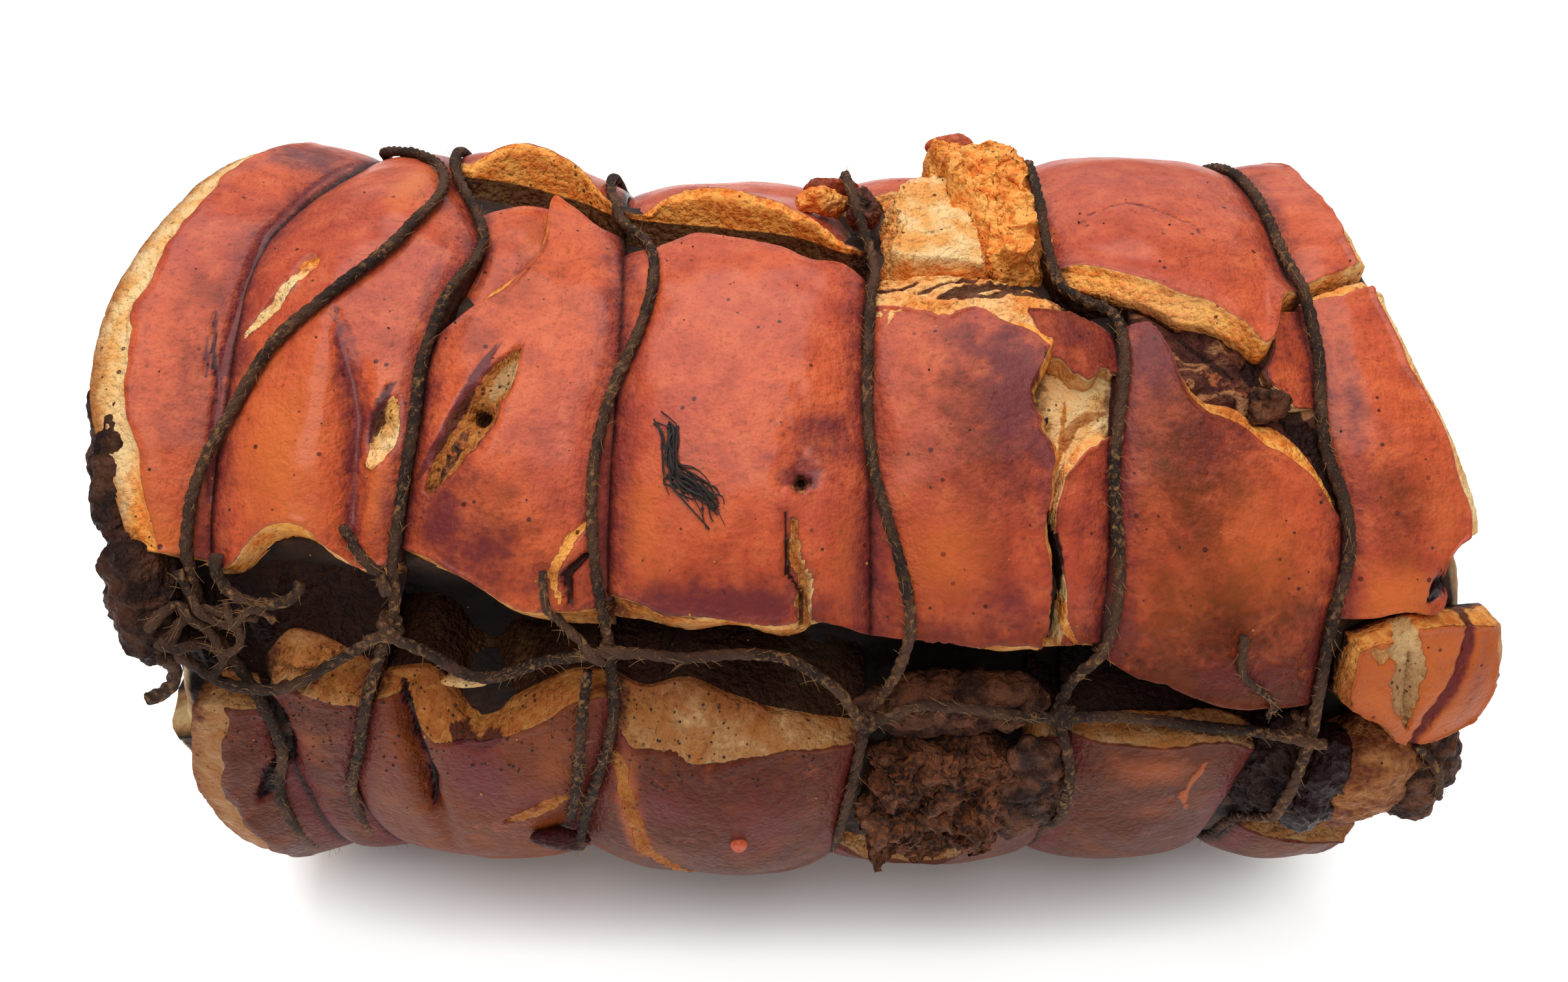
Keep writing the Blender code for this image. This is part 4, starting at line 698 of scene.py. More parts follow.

# Painted shade: the tall narrow plum ovals along the twine lines, and the flat wide ones along the panels'
# low edges, darken creases.
PATCHES = [Patch(*row) for row in (
    # The first panel
    (-136, 34, 8, 7, "amber", 0.9), (-137, 42, 6, 7, "amber", 0.6), (-128, 52, 9, 9, "plum", 0.45),
    (-131, 70, 8, 14, "plum", 0.25), (-124, 103, 12, 8, "plum", 0.95), (-120, 50, 3.5, 30, "plum", 0.6),
    (-139, 96, 6, 10, "plum", 0.3),
    # The saddle between the first two strings; its first three orange ovals, on the bulge, are partly a
    # painted highlight
    (-107, 45, 10, 12, "amber", 0.8, 0.8), (-104, 37, 8, 5, "amber", 0.8), (-101, 52, 6, 9, "amber", 0.55),
    (-88, 40, 4, 7, "amber", 0.7), (-92, 91, 4, 9, "amber", 1.0, 0.6), (-105, 82, 8, 8, "plum", 0.3),
    (-113, 58, 5, 8, "plum", 0.25), (-104, 31.5, 14, 3, "plum", 0.75), (-86, 62, 5, 10, "plum", 0.35),
    (-80, 55, 2.5, 40, "plum", 0.6),
    # The second panel
    (-74, 38, 8, 7, "plum", 0.85), (-66, 33, 12, 5, "plum", 0.8), (-60, 40, 7, 7, "amber", 0.25),
    (-52, 30, 10, 3.5, "plum", 0.6), (-49, 64, 7, 12, "amber", 0.25), (-61, 84, 4, 9, "amber", 0.65),
    (-55, 92, 6, 5, "amber", 0.5), (-70, 62, 7, 7, "plum", 0.4),
    # The third panel
    (-30, 36, 7, 9, "amber", 0.65), (-18, 38, 12, 7, "amber", 0.35), (-14, 27, 26, 3, "plum", 1.0),
    (8, 47, 10, 6, "plum", 0.75, -1.0), (14, 33, 5, 10, "amber", 0.5), (-35, 60, 3.5, 26, "plum", 0.5),
    (15, 56, 4, 22, "plum", 0.45),
    # The fourth panel
    (50, 54, 8, 12, "plum", 1.0), (42, 60, 12, 7, "plum", 0.6), (56, 44, 4, 10, "plum", 0.7),
    (27, 55, 7, 16, "amber", 0.15), (34, 33, 12, 8, "amber", 0.6), (26, 41, 6, 9, "amber", 0.4),
    (48, 26, 8, 6, "plum", 0.7), (36, 23, 16, 3, "plum", 0.5), (66, 38, 6, 10, "plum", 0.45),
    (66, 63, 7, 5, "plum", 0.6),
    # Painted shade: the seven brown ovals darken the lower halves of the front panels; then the fifth panel
    (88, 46, 18, 18, "brown", 0.7), (96, 22, 28, 14, "brown", 0.8), (46, 48, 22, 18, "brown", 0.55),
    (40, 26, 30, 12, "brown", 0.4), (-66, 34, 22, 12, "brown", 0.45), (-14, 27, 30, 8, "brown", 0.45),
    (-128, 60, 10, 24, "brown", 0.3), (82, 60, 8, 8, "plum", 0.9), (94, 47, 12, 6, "plum", 0.5),
    (102, 34, 12, 12, "amber", 0.45), (86, 27, 12, 9, "amber", 0.3), (102, 17, 16, 4, "plum", 0.6),
    (75, 30, 3, 20, "plum", 0.5),
    # The back of the top and the right end
    (70, 86, 5, 8, "plum", 0.35), (104, 76, 10, 8, "plum", 0.3), (113, 64, 4, 9, "plum", 0.5),
    (133, 38, 9, 9, "brown", 0.55), (133, 27, 8, 5, "amber", 0.9), (143, 38, 6, 9, "amber", 0.5),
    (-112, 88, 16, 14, "brown", 0.25), (-60, 70, 16, 20, "brown", 0.25), (36, 60, 20, 12, "brown", 0.3),
    (92, 84, 26, 16, "brown", 0.15), (130, 70, 7, 1.5, "amber", 0.6), (64, 60, 6, 5, "brown", 0.6),
    (140, 56, 6, 10, "amber", 0.3), (124, 50, 3.5, 26, "plum", 0.6),
    (90, 66, 34, 9, "pale", 0.4, 0.0, ("top_right",)),
    # The lower panels
    (-110, 4, 8, 9, "amber", 0.25), (-102, 2, 10, 12, "amber", 0.5), (-72, 357, 8, 10, "plum", 1.0),
    (-62, 350, 8, 8, "plum", 0.6), (-56, 357, 7, 7, "amber", 0.4), (-28, 354, 12, 6, "plum", 0.7),
    (-8, 346, 12, 6, "plum", 0.5), (8, 352, 6, 10, "amber", 0.25), (-37, 352, 3.5, 14, "amber", 0.8),
    (-20, 330, 130, 26, "amber", 0.15), (-5, 352, 14, 10, "plum", 0.6), (92, 345, 24, 14, "brown", 0.6),
    (92, 366, 30, 7, "brown", 1.0, 0.0, ("top_right",)), (112, 365, 8, 7, "plum", 0.9, 0.0, ("top_right",)),
    (88, 358, 14, 5, "amber", 0.5), (92, 346, 9, 5, "amber", 0.35), (110, 350, 5, 12, "plum", 0.9),
    (-136, 358, 8, 18, "brown", 1.0), (-138, 371, 12, 9, "brown", 1.0), (-138, 371, 12, 9, "plum", 0.8),
    (-112, 361, 5, 9, "amber", 0.35), (-93, 358, 4, 12, "plum", 0.5), (-4, 347, 12, 7, "amber", 0.2),
    (155, 14, 4, 10, "plum", 0.5, 0.0, ("right_flap",)),
    (146, 8, 12, 12, "brown", 0.45, 0.0, ("right_flap",)),
    (145, 9, 11, 11, "amber", 0.75, 0.0, ("right_flap",)), (60, 346, 8, 8, "plum", 0.6),
    # The back
    (-112, 138, 14, 18, "amber", 0.5), (-62, 158, 12, 22, "brown", 0.5), (-18, 172, 15, 18, "amber", 0.5),
    (22, 142, 12, 16, "plum", 0.55), (60, 176, 16, 22, "amber", 0.5), (104, 150, 15, 20, "brown", 0.5),
    (-92, 196, 14, 14, "plum", 0.55), (2, 210, 22, 12, "brown", 0.6), (122, 200, 13, 15, "plum", 0.5),
)]

LOOPS = [
    [(24, -128), (35, -128), (45, -123.8), (50, -119.2), (55, -115), (60, -109.7), (65, -101.4), (70, -94.5),
     (75, -89.5), (80, -86.5), (86, -84), (92, -84.5), (98, -88), (103, -94), (108, -102), (113, -110),
     (120, -114), (180, -118), (235, -124), (300, -127.5), (335, -127), (350, -124), (358, -120),
     (367, -118.5), (375, -121.5), (384, -128)],
    [(22, -88), (25, -85.5), (30, -84.4), (40, -82), (50, -80), (57, -79.8), (63, -78.2), (70, -75.7),
     (75, -72.7), (81, -72), (85, -73.8), (89, -76.8), (96, -83), (105, -87), (180, -90), (235, -103),
     (300, -106), (330, -111), (350, -106.5), (360, -100.6), (370, -95.3), (382, -88)],
    [(20, -38.5), (30, -40.3), (40, -41.3), (50, -39.4), (55, -37.1), (60, -33.9), (65, -31.6), (70, -30.4),
     (75, -30.5), (80, -31.9), (85, -35.2), (89, -40.3), (95, -43), (180, -45), (240, -47), (300, -48),
     (330, -54), (350, -47.4), (360, -42.5), (370, -38.5), (380, -38.5)],
    [(9, 19), (15, 24.4), (20, 26.6), (25, 27.3), (30, 25.7), (35, 23.5), (40, 20.8), (45, 19), (60, 18.9),
     (70, 20.2), (75, 21.5), (80, 21), (90, 17.3), (105, 15.5), (180, 15), (270, 15), (350, 15), (360, 17),
     (369, 19)],
    [(9, 62.3), (15, 65.4), (19, 70), (25, 71.8), (45, 71.6), (50, 73), (60, 75.8), (65, 75.5), (68, 72.6),
     (69.5, 67.1), (72, 64), (75, 63), (110, 62.5), (180, 62), (270, 64), (350, 67.4), (360, 66.6),
     (369, 62.3)],
    [(6, 121.5), (20, 119.3), (25, 119.5), (35, 121.9), (40, 120.6), (45, 118), (60, 118.4), (70, 117.5),
     (90, 119.3), (110, 120.5), (180, 121), (240, 119), (300, 119), (340, 118), (360, 121), (366, 121.5)],
]
SEAM_STRING = [(124, 5), (112, 5.5), (100, 6), (85, 7.5), (75, 8.6), (62.3, 9), (52, 9.6), (41, 11)]
SEAM_STRING += [(30, 11.5), (19, 9), (12, 14), (7, 16.5), (0, 19), (-10, 19.6), (-22, 19), (-30, 19.5)]
SEAM_STRING += [(-38.5, 20), (-46, 19), (-54, 18), (-60, 16.5), (-66, 15.5), (-72, 16.5), (-79, 19.5)]
SEAM_STRING += [(-88, 22), (-94, 20), (-102, 17), (-108, 15), (-114, 14), (-120, 14), (-126, 15)]
SEAM_STRING += [(-130.5, 18), (-132, 21), (-131, 24), (-127, 25.5), (-121, 25), (-115, 24.5)]
CURLED_END = [(-121, 33), (-121.5, 30.5), (-119.5, 28.2), (-115.5, 26.8), (-110, 26.6), (-106, 27.5)]
CURLED_END += [(-104.3, 29.3)]
STRAY_STRINGS = [
    ([(-133.5, 20.5), (-135, 17.5), (-137, 14.5), (-141, 12.5), (-143.5, 12)], 1.5, 1.9),
    ([(-130, 31), (-127, 26.5), (-121, 23.5), (-115, 26), (-111, 24)], 1.2, 1.0),
    ([(-134, 22.5), (-128, 21), (-122.5, 19.5), (-119, 22), (-121, 27)], 1.3, 1.0),
    ([(-136, 24), (-131, 26.5), (-126, 23), (-124, 18.5), (-127, 16)], 1.2, 1.2),
    ([(-94, 36.5), (-91, 33.5), (-87.5, 31), (-85, 28)], 1.2, 1.4),
    ([(-51.5, 31), (-51, 26.5), (-48, 23.5), (-43, 20.5), (-39.5, 18.5)], 1.0, 1.2),
    ([(99, 23), (99.8, 18), (104, 15.5), (109, 12.5), (110.5, 8.5)], 1.0, 0.7),
    ([(-43.5, 17), (-46, 7.5), (-49, -3.5), (-53, -15)], 1.3, 1.5),
    ([(147, 3), (153, -1), (157, -7)], 1.2, 0.9),
]
KNOTS = [(-87, 23.6, 5), (-39, 18.7, 4), (17.5, 8.7, 4), (63, 9.3, 4), (119.5, 6.5, 4), (-130, 21, 6)]
TUFT = [(-28, 50), (-24.5, 48), (-24.8, 45), (-23.5, 42.8), (-20, 41.6), (-16.5, 40.4), (-14.3, 38.6)]

SEAM_MIDDLE = [(-140, 20), (-110, 22), (-80, 20), (-60, 18.5), (-30, 17), (0, 15), (40, 12.5), (80, 10)]
SEAM_MIDDLE += [(110, 8), (150, 2)]
SEAM_DEPTH = [(-150, 3), (-125, 10), (-100, 14), (0, 13), (60, 13), (110, 11), (130, 5), (150, 2)]
SEAM_HALF_OPENING = 8.5


def new_object(name: str, mesh: Mesh, material: Material) -> Piece:
    """Puts a mesh in the scene under its own name, shaded smooth."""
    mesh.materials.append(material)
    mesh.shade_smooth()
    made = bpy.data.objects.new(name, mesh)
    bpy.context.scene.collection.objects.link(made)
    return made


def belongs(piece: Piece, slot: str, *nodes: str) -> Piece:
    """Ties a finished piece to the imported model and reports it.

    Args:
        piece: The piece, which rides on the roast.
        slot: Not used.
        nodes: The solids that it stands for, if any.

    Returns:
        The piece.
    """
    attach(piece, "root")
    if nodes:
        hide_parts(*nodes)
    LOG.info("%s: %d triangles", piece.name, sum(len(p.vertices) - 2 for p in piece.data.polygons))
    return piece


def corners_of(mesh: Mesh) -> Array:
    """The mesh's vertices, one row each."""
    spots = np.empty(len(mesh.vertices) * 3)
    mesh.vertices.foreach_get("co", spots)
    return spots.reshape(-1, 3)


def move_corners(mesh: Mesh, spots: Array) -> None:
    """Moves the mesh's vertices."""
    mesh.vertices.foreach_set("co", np.ascontiguousarray(spots, np.float32).reshape(-1))
    mesh.update()


def paint_tint(mesh: Mesh, name: str, values: Array) -> None:
    """Stores one number for each vertex under this name, for the materials to read."""
    layer = mesh.attributes.new(name, "FLOAT", "POINT")
    layer.data.foreach_set("value", np.ascontiguousarray(values, np.float32))


def raise_tint(tints: Tints, name: str, amount: Array) -> None:
    """Raises one tint to this amount where it was lower."""
    tints[name] = np.maximum(tints[name], amount)


def mesh_of(bm: bmesh.types.BMesh, name: str) -> Mesh:
    """The finished mesh of a bmesh, with its faces outwards."""
    bmesh.ops.recalc_face_normals(bm, faces=bm.faces)
    mesh = bpy.data.meshes.new(name)
    bm.to_mesh(mesh)
    bm.free()
    return mesh


class Limits:
    """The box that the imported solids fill, which the looks stay inside."""

    def __init__(self, low: Vector, high: Vector) -> None:
        """Takes the box's lowest and highest corner, in metres."""
        self._low = np.array(low) + BOX_MARGIN
        self._high = np.array(high) - BOX_MARGIN

    def keep(self, spots: Array) -> Array:
        """The points, with any outside brought back to the box."""
        return np.clip(spots, self._low, self._high)


class Panel:
    """One slab of rind, with its relief and its tints, as a closed mesh.

    Lengths are in millimetres and angles in degrees. A spacing is (least, what is added away from the edge,
    where that begins, over how far), in pitches and millimetres.
    """

    COLUMN_SPACING = (0.6, 0.4, 4, 4)
    ROW_SPACING = (0.55, 0.45, 7, 5)
    COLUMN_STEPS = 2000
    ROW_STEPS = 4000
    HIDDEN_FROM = 112
    HIDDEN_TO = 338
    HIDDEN_BLEND = 12
    HIDDEN_SPACING = 1.6
    WALL_RINGS = 5
    UNDER_COARSENESS = 12
    UNDER_SHRINK = 0.94
    WALL_BULGE = 0.5
    UNDERSIDE_AT = 315
    UNDERSIDE_HALF = 82
    UNDERSIDE_BLEND = 26
    UNDERSIDE_BROWN_AND_SHADE = 0.95

    def __init__(self, name: str, shape: Shape, limits: Limits, seed: float) -> None:
        """Measures the slab along its middle.

        Args:
            name: The slab's name.
            shape: Its edges and relief.
            limits: The box that it stays inside.
            seed: What its edges' noise starts from.
        """
        self._name = name
        self._shape = shape
        self._limits = limits
        self._seed = seed
        half = np.array([0.5])
        self._span = tuple(through([(u, a) for u, a, _ in edge], half)[0] for edge in (shape.low, shape.high))
        middle = np.array([sum(self._span) / 2])
        self._width = float(through(shape.right, middle)[0] - through(shape.left, middle)[0])

    def build(self, material: Material) -> Piece:
        """Builds the slab and gives it its material."""
        columns, rows = self._columns(), self._rows()
        bm = self._box_of_grids(len(columns) - 1, len(rows) - 1)
        mesh = mesh_of(bm, self._name)
        across, along, depth = corners_of(mesh).T
        u = np.interp(across + 0.5, np.linspace(0, 1, len(columns)), columns)
        v = np.interp(along + 0.5, np.linspace(0, 1, len(rows)), rows)
        spots, tints = self._lay(u, v, depth)
        if self._shape.crumple:
            spots = spots + self._crumpled(spots / MM)
        move_corners(mesh, self._limits.keep(spots))
        for name in TINTS:
            paint_tint(mesh, name, np.clip(tints[name], 0, 1))
        return new_object(self._name, mesh, material)

    def _columns(self) -> Array:
        """Where the grid's columns lie across the slab, closer together at its sides."""
        fine = np.linspace(0, 1, self.COLUMN_STEPS)
        least, more, begin, blend = self.COLUMN_SPACING
        from_side = np.minimum(fine, 1 - fine) * self._width
        return self._spread(fine, self._width, least + more * smooth((from_side - begin) / blend))

    def _rows(self) -> Array:
        """Where the grid's rows lie along it: close at its torn ends, wide apart where no view shows much."""
        fine = np.linspace(0, 1, self.ROW_STEPS)
        low, high = self._span
        angle = low + (high - low) * fine
        length = abs(high - low) * ARC
        past_start = smooth((angle - self.HIDDEN_FROM) / self.HIDDEN_BLEND)
        hidden = past_start * smooth((self.HIDDEN_TO - angle) / self.HIDDEN_BLEND)
        least, more, begin, blend = self.ROW_SPACING
        from_end = np.minimum(fine, 1 - fine) * length
        spacing = least + more * smooth((from_end - begin) / blend)
        return self._spread(fine, length, (1 + self.HIDDEN_SPACING * hidden) * spacing)

    def _spread(self, fine: Array, length: float, spacing: Array) -> Array:
        """Spaces a grid's lines.

        Args:
            fine: Places from 0 to 1 where the spacing is given.
            length: How long the way from 0 to 1 is, in millimetres.
            spacing: The spacing wanted at each of them, in pitches.

        Returns:
            Places from 0 to 1 that are so far apart.
        """
        density = length / (spacing * self._shape.pitch)
        run = np.concatenate([[0], np.cumsum((density[1:] + density[:-1]) / 2 * np.diff(fine))])
        return np.interp(np.linspace(0, run[-1], int(run[-1]) + 2), run, fine)

    def _box_of_grids(self, columns: int, rows: int) -> bmesh.types.BMesh:
        """A fine grid, walls pulled down from its rim and a coarser grid under it."""
        bm = bmesh.new()
        bmesh.ops.create_grid(bm, x_segments=columns, y_segments=rows, size=0.5)
        bmesh.ops.translate(bm, verts=bm.verts, vec=(0, 0, 1))
        rim = [edge for edge in bm.edges if edge.is_boundary]
        shape = self._shape
        rings = int(shape.thick / shape.pitch) if shape.crumple else self.WALL_RINGS
        for _ in range(rings):
            pulled = bmesh.ops.extrude_edge_only(bm, edges=rim)["geom"]
            rim = [item for item in pulled if isinstance(item, bmesh.types.BMEdge) and item.is_boundary]
            moved = [item for item in pulled if isinstance(item, bmesh.types.BMVert)]
            bmesh.ops.translate(bm, verts=moved, vec=(0, 0, -1 / rings))
        under = bmesh.ops.create_grid(
            bm,
            x_segments=max(2, columns // self.UNDER_COARSENESS),
            y_segments=max(2, rows // self.UNDER_COARSENESS),
            size=0.5 * self.UNDER_SHRINK,
        )["verts"]
        owned = set(under)
        under_rim = [edge for edge in bm.edges if edge.is_boundary and edge.verts[0] in owned]
        bmesh.ops.bridge_loops(bm, edges=rim + under_rim)
        return bm

    def _lay(self, u: Array, v: Array, w: Array) -> tuple[Array, Tints]:
        """Bends the box round the roll.

        Args:
            u: Share of the way across, from the left side to the right one.
            v: Share of the way along, from the low edge to the high one.
            w: 0 on the inner face, 1 on the skin.

        Returns:
            The points in metres, and a tint for each of them under each name.
        """
        shape = self._shape
        edge_noise = self._frayed(u * self._width, w, 0.0)
        low = through([(a, b) for a, b, _ in shape.low], u) + shape.ragged / ARC * edge_noise
        high = through([(a, b) for a, b, _ in shape.high], u) - shape.ragged / ARC * edge_noise
        angle = low + (high - low) * v
        side_noise = self._frayed(angle * ARC, w, 50.0)
        left, right = through(shape.left, angle), through(shape.right, angle)
        left = left + np.where(shape.left_rim > 0, shape.ragged * side_noise, -OVERLAP)
        right = right + np.where(shape.right_rim > 0, shape.ragged * side_noise, OVERLAP)
        station = left + (right - left) * u
        arc = np.radians(1.0) * body_radius(station, angle)
        spots = np.stack([station, angle * ARC, w * shape.thick], axis=1)
        uneven = GRAIN.fractal(spots, 5.0, 3, 0.5)
        wavy = GRAIN.fractal(spots, 13.0, 2, 0.4)
        tints = {name: np.full(len(u), float(shape.tints.get(name, 0.0))) for name in TINTS}
        left_rim, right_rim = (np.full(len(u), rim) for rim in (shape.left_rim, shape.right_rim))
        low_rim, high_rim = (through([(a, r) for a, _, r in edge], u) for edge in (shape.low, shape.high))
        drop = np.zeros(len(u))
        for near, rim, fall, tone in (
            (station - left, left_rim, shape.side_fall, shape.side_tone),
            (right - station, right_rim, shape.side_fall, shape.side_tone),
            ((angle - low) * arc, low_rim, shape.low_fall, shape.low_tone),
            ((high - angle) * arc, high_rim, shape.high_fall, shape.high_tone),
        ):
            drop += self._edge(near, rim, fall * shape.thick, tone, wavy, tints)
        drop += self._marks(station, angle, uneven, tints)
        self._tint_walls(angle, w, uneven, tints)
        relief = self._relief(spots, np.maximum(tints["fat"], tints["meat"]))
        lift = shape.low_lift[0] * np.clip(1 - (angle - low) * arc / shape.low_lift[1], 0, 1) ** 2
        inner = body_radius(station, angle) - shape.thick + lift
        thick = np.maximum(shape.thick - drop + through(shape.swell, angle) + relief, THINNEST)
        bulge = self.WALL_BULGE * np.sin(np.pi * w) * np.minimum(edge_noise, 1.0)
        return place(station, angle, inner + thick * w + bulge * (w < 1)), tints

    def _tint_walls(self, angle: Array, w: Array, uneven: Array, tints: Tints) -> None:
        """Tints the walls fat, meat and dark, and the skin brown towards the underside: browning and painted
        shade.
        """
        meat = self._shape.meat_wall
        raise_tint(tints, "meat", smooth((0.62 - w + 0.12 * uneven) / 0.3) * meat)
        raise_tint(tints, "fat", (1 - meat) * smooth((0.97 - w) / 0.05))
        raise_tint(tints, "dark", 1.1 * smooth((0.62 - w) / 0.4) * meat)
        raise_tint(tints, "dark", smooth((0.2 - w) / 0.15))
        # Browner towards the underside: partly real browning, partly painted shade where less light falls.
        from_under = np.abs(signed(angle - self.UNDERSIDE_AT))
        near_under = smooth((self.UNDERSIDE_HALF - from_under) / self.UNDERSIDE_BLEND)
        raise_tint(tints, "brown", self.UNDERSIDE_BROWN_AND_SHADE * near_under)

    def _relief(self, spots: Array, bare: Array) -> Array:
        """How far the skin's swellings and the grain of bare fat and meat stand out."""
        rough = self._shape.rough
        relief = 0.8 * GRAIN.fractal(spots, 26.0, 2) + 0.05 * GRAIN.fractal(spots, 6.0, 2)
        relief = relief + bare * (0.45 + rough) * (GRAIN.ridges(spots, 3.6, 4) - 0.5)
        return relief + rough * 1.2 * GRAIN.fractal(spots, 9.0, 3) * (1 if self._shape.crumple else bare)

    def _crumpled(self, spots: Array) -> Array:
        """How far each point of a torn piece is pushed about, in metres."""
        pushed = [GRAIN.fractal(spots + 60.0 * axis, 7.0, 4, 0.55) for axis in range(3)]
        return self._shape.crumple * MM * np.stack(pushed, axis=1)

    def _frayed(self, along: Array, w: Array, shift: float) -> Array:
        """The noise that an edge wanders by: broad waves with small notches here and there."""
        spots = np.stack([along, 4 * w, np.full(len(along), self._seed + shift)], axis=1)
        notches = np.clip(GRAIN.fractal(spots + 80, 3.2, 3, 0.6), 0, 1)
        return GRAIN.fractal(spots, 15.0, 2, 0.4) + 0.8 * notches * smooth(GRAIN.at(spots + 40, 22.0) * 2)

    @staticmethod
    def _edge(near: Array, rim: Array, fall: float, tone: float, uneven: Array, tints: Tints) -> Array:
        """Draws the skin down towards an edge: into a twine groove with painted shade, or down a torn rim of
        bare fat.

        Args:
            near: How far each point is from the edge.
            rim: How wide the torn rim is, or 0 where there is a groove.
            fall: How far the skin falls across the rim.
            tone: How browned the rim is.
            uneven: Noise at each point.
            tints: The tints, which it raises.

        Returns:
            How far the skin falls at each point.
        """
        rim_wide = np.maximum(rim * (1 + 0.13 * np.sin(2.2 * uneven)), 0.05)
        share = near / rim_wide
        inside = np.clip(1 - share, 0, 1)
        step = SKIN_THICKNESS * smooth(inside / 0.14)
        curled = 0.45 * bell((share - 1.2) / 0.22)
        torn = step + (fall - SKIN_THICKNESS) * inside**1.25 - curled
        wide, narrow = GROOVE_WIDE, GROOVE_NARROW
        groove = wide[0] * bell(near / wide[1]) + narrow[0] * np.exp(-near / narrow[1])
        has_rim = rim > 0
        bare = has_rim * smooth(0.5 + (rim_wide - near) / 1.6)
        raise_tint(tints, "fat", bare)
        raise_tint(tints, "raw", has_rim * inside * np.clip(rim / 8, 0.2, 1))
        raise_tint(tints, "amber", tone * bare)
        # Painted shade: dark in each twine groove, and plum in it and beside it.
        raise_tint(tints, "dark", np.where(has_rim, 0.0, 0.9 * bell(near / 2.6)))
        beside = 0.30 * bell(np.maximum(near - rim_wide, 0) / 5.0)
        raise_tint(tints, "plum", np.where(has_rim, beside, 0.75 * bell(near / 7.0)))
        return np.where(has_rim, torn, groove)

    def _marks(self, station: Array, angle: Array, uneven: Array, tints: Tints) -> Array:
        """Adds the dents, strokes and patches."""
        drop = np.zeros(len(station))
        for at_station, at_angle, wide, tall, deep in self._shape.dents:
            far = ((station - at_station) / wide) ** 2 + ((angle - at_angle) / tall) ** 2
            drop += deep * np.exp(-far)
        for stroke in STROKES:
            if self._name not in stroke.on:
                continue
            near = stroke.nearness(station, angle, uneven)
            drop += stroke.depth * near
            if stroke.halo:
                around = smooth(near**0.3 * 1.6 - 0.4) * (1 - smooth((near - 0.3) / 0.3))
                raise_tint(tints, "plum", stroke.halo * around)
            for name, amount in stroke.tints.items():
                raise_tint(tints, name, amount * smooth((near - 0.15) / 0.35))
        for patch in PATCHES:
            if patch.on and self._name not in patch.on:
                continue
            share = patch.share(station, angle, uneven)
            drop -= patch.lift * share
            raise_tint(tints, patch.tint, patch.amount * share)
        return drop


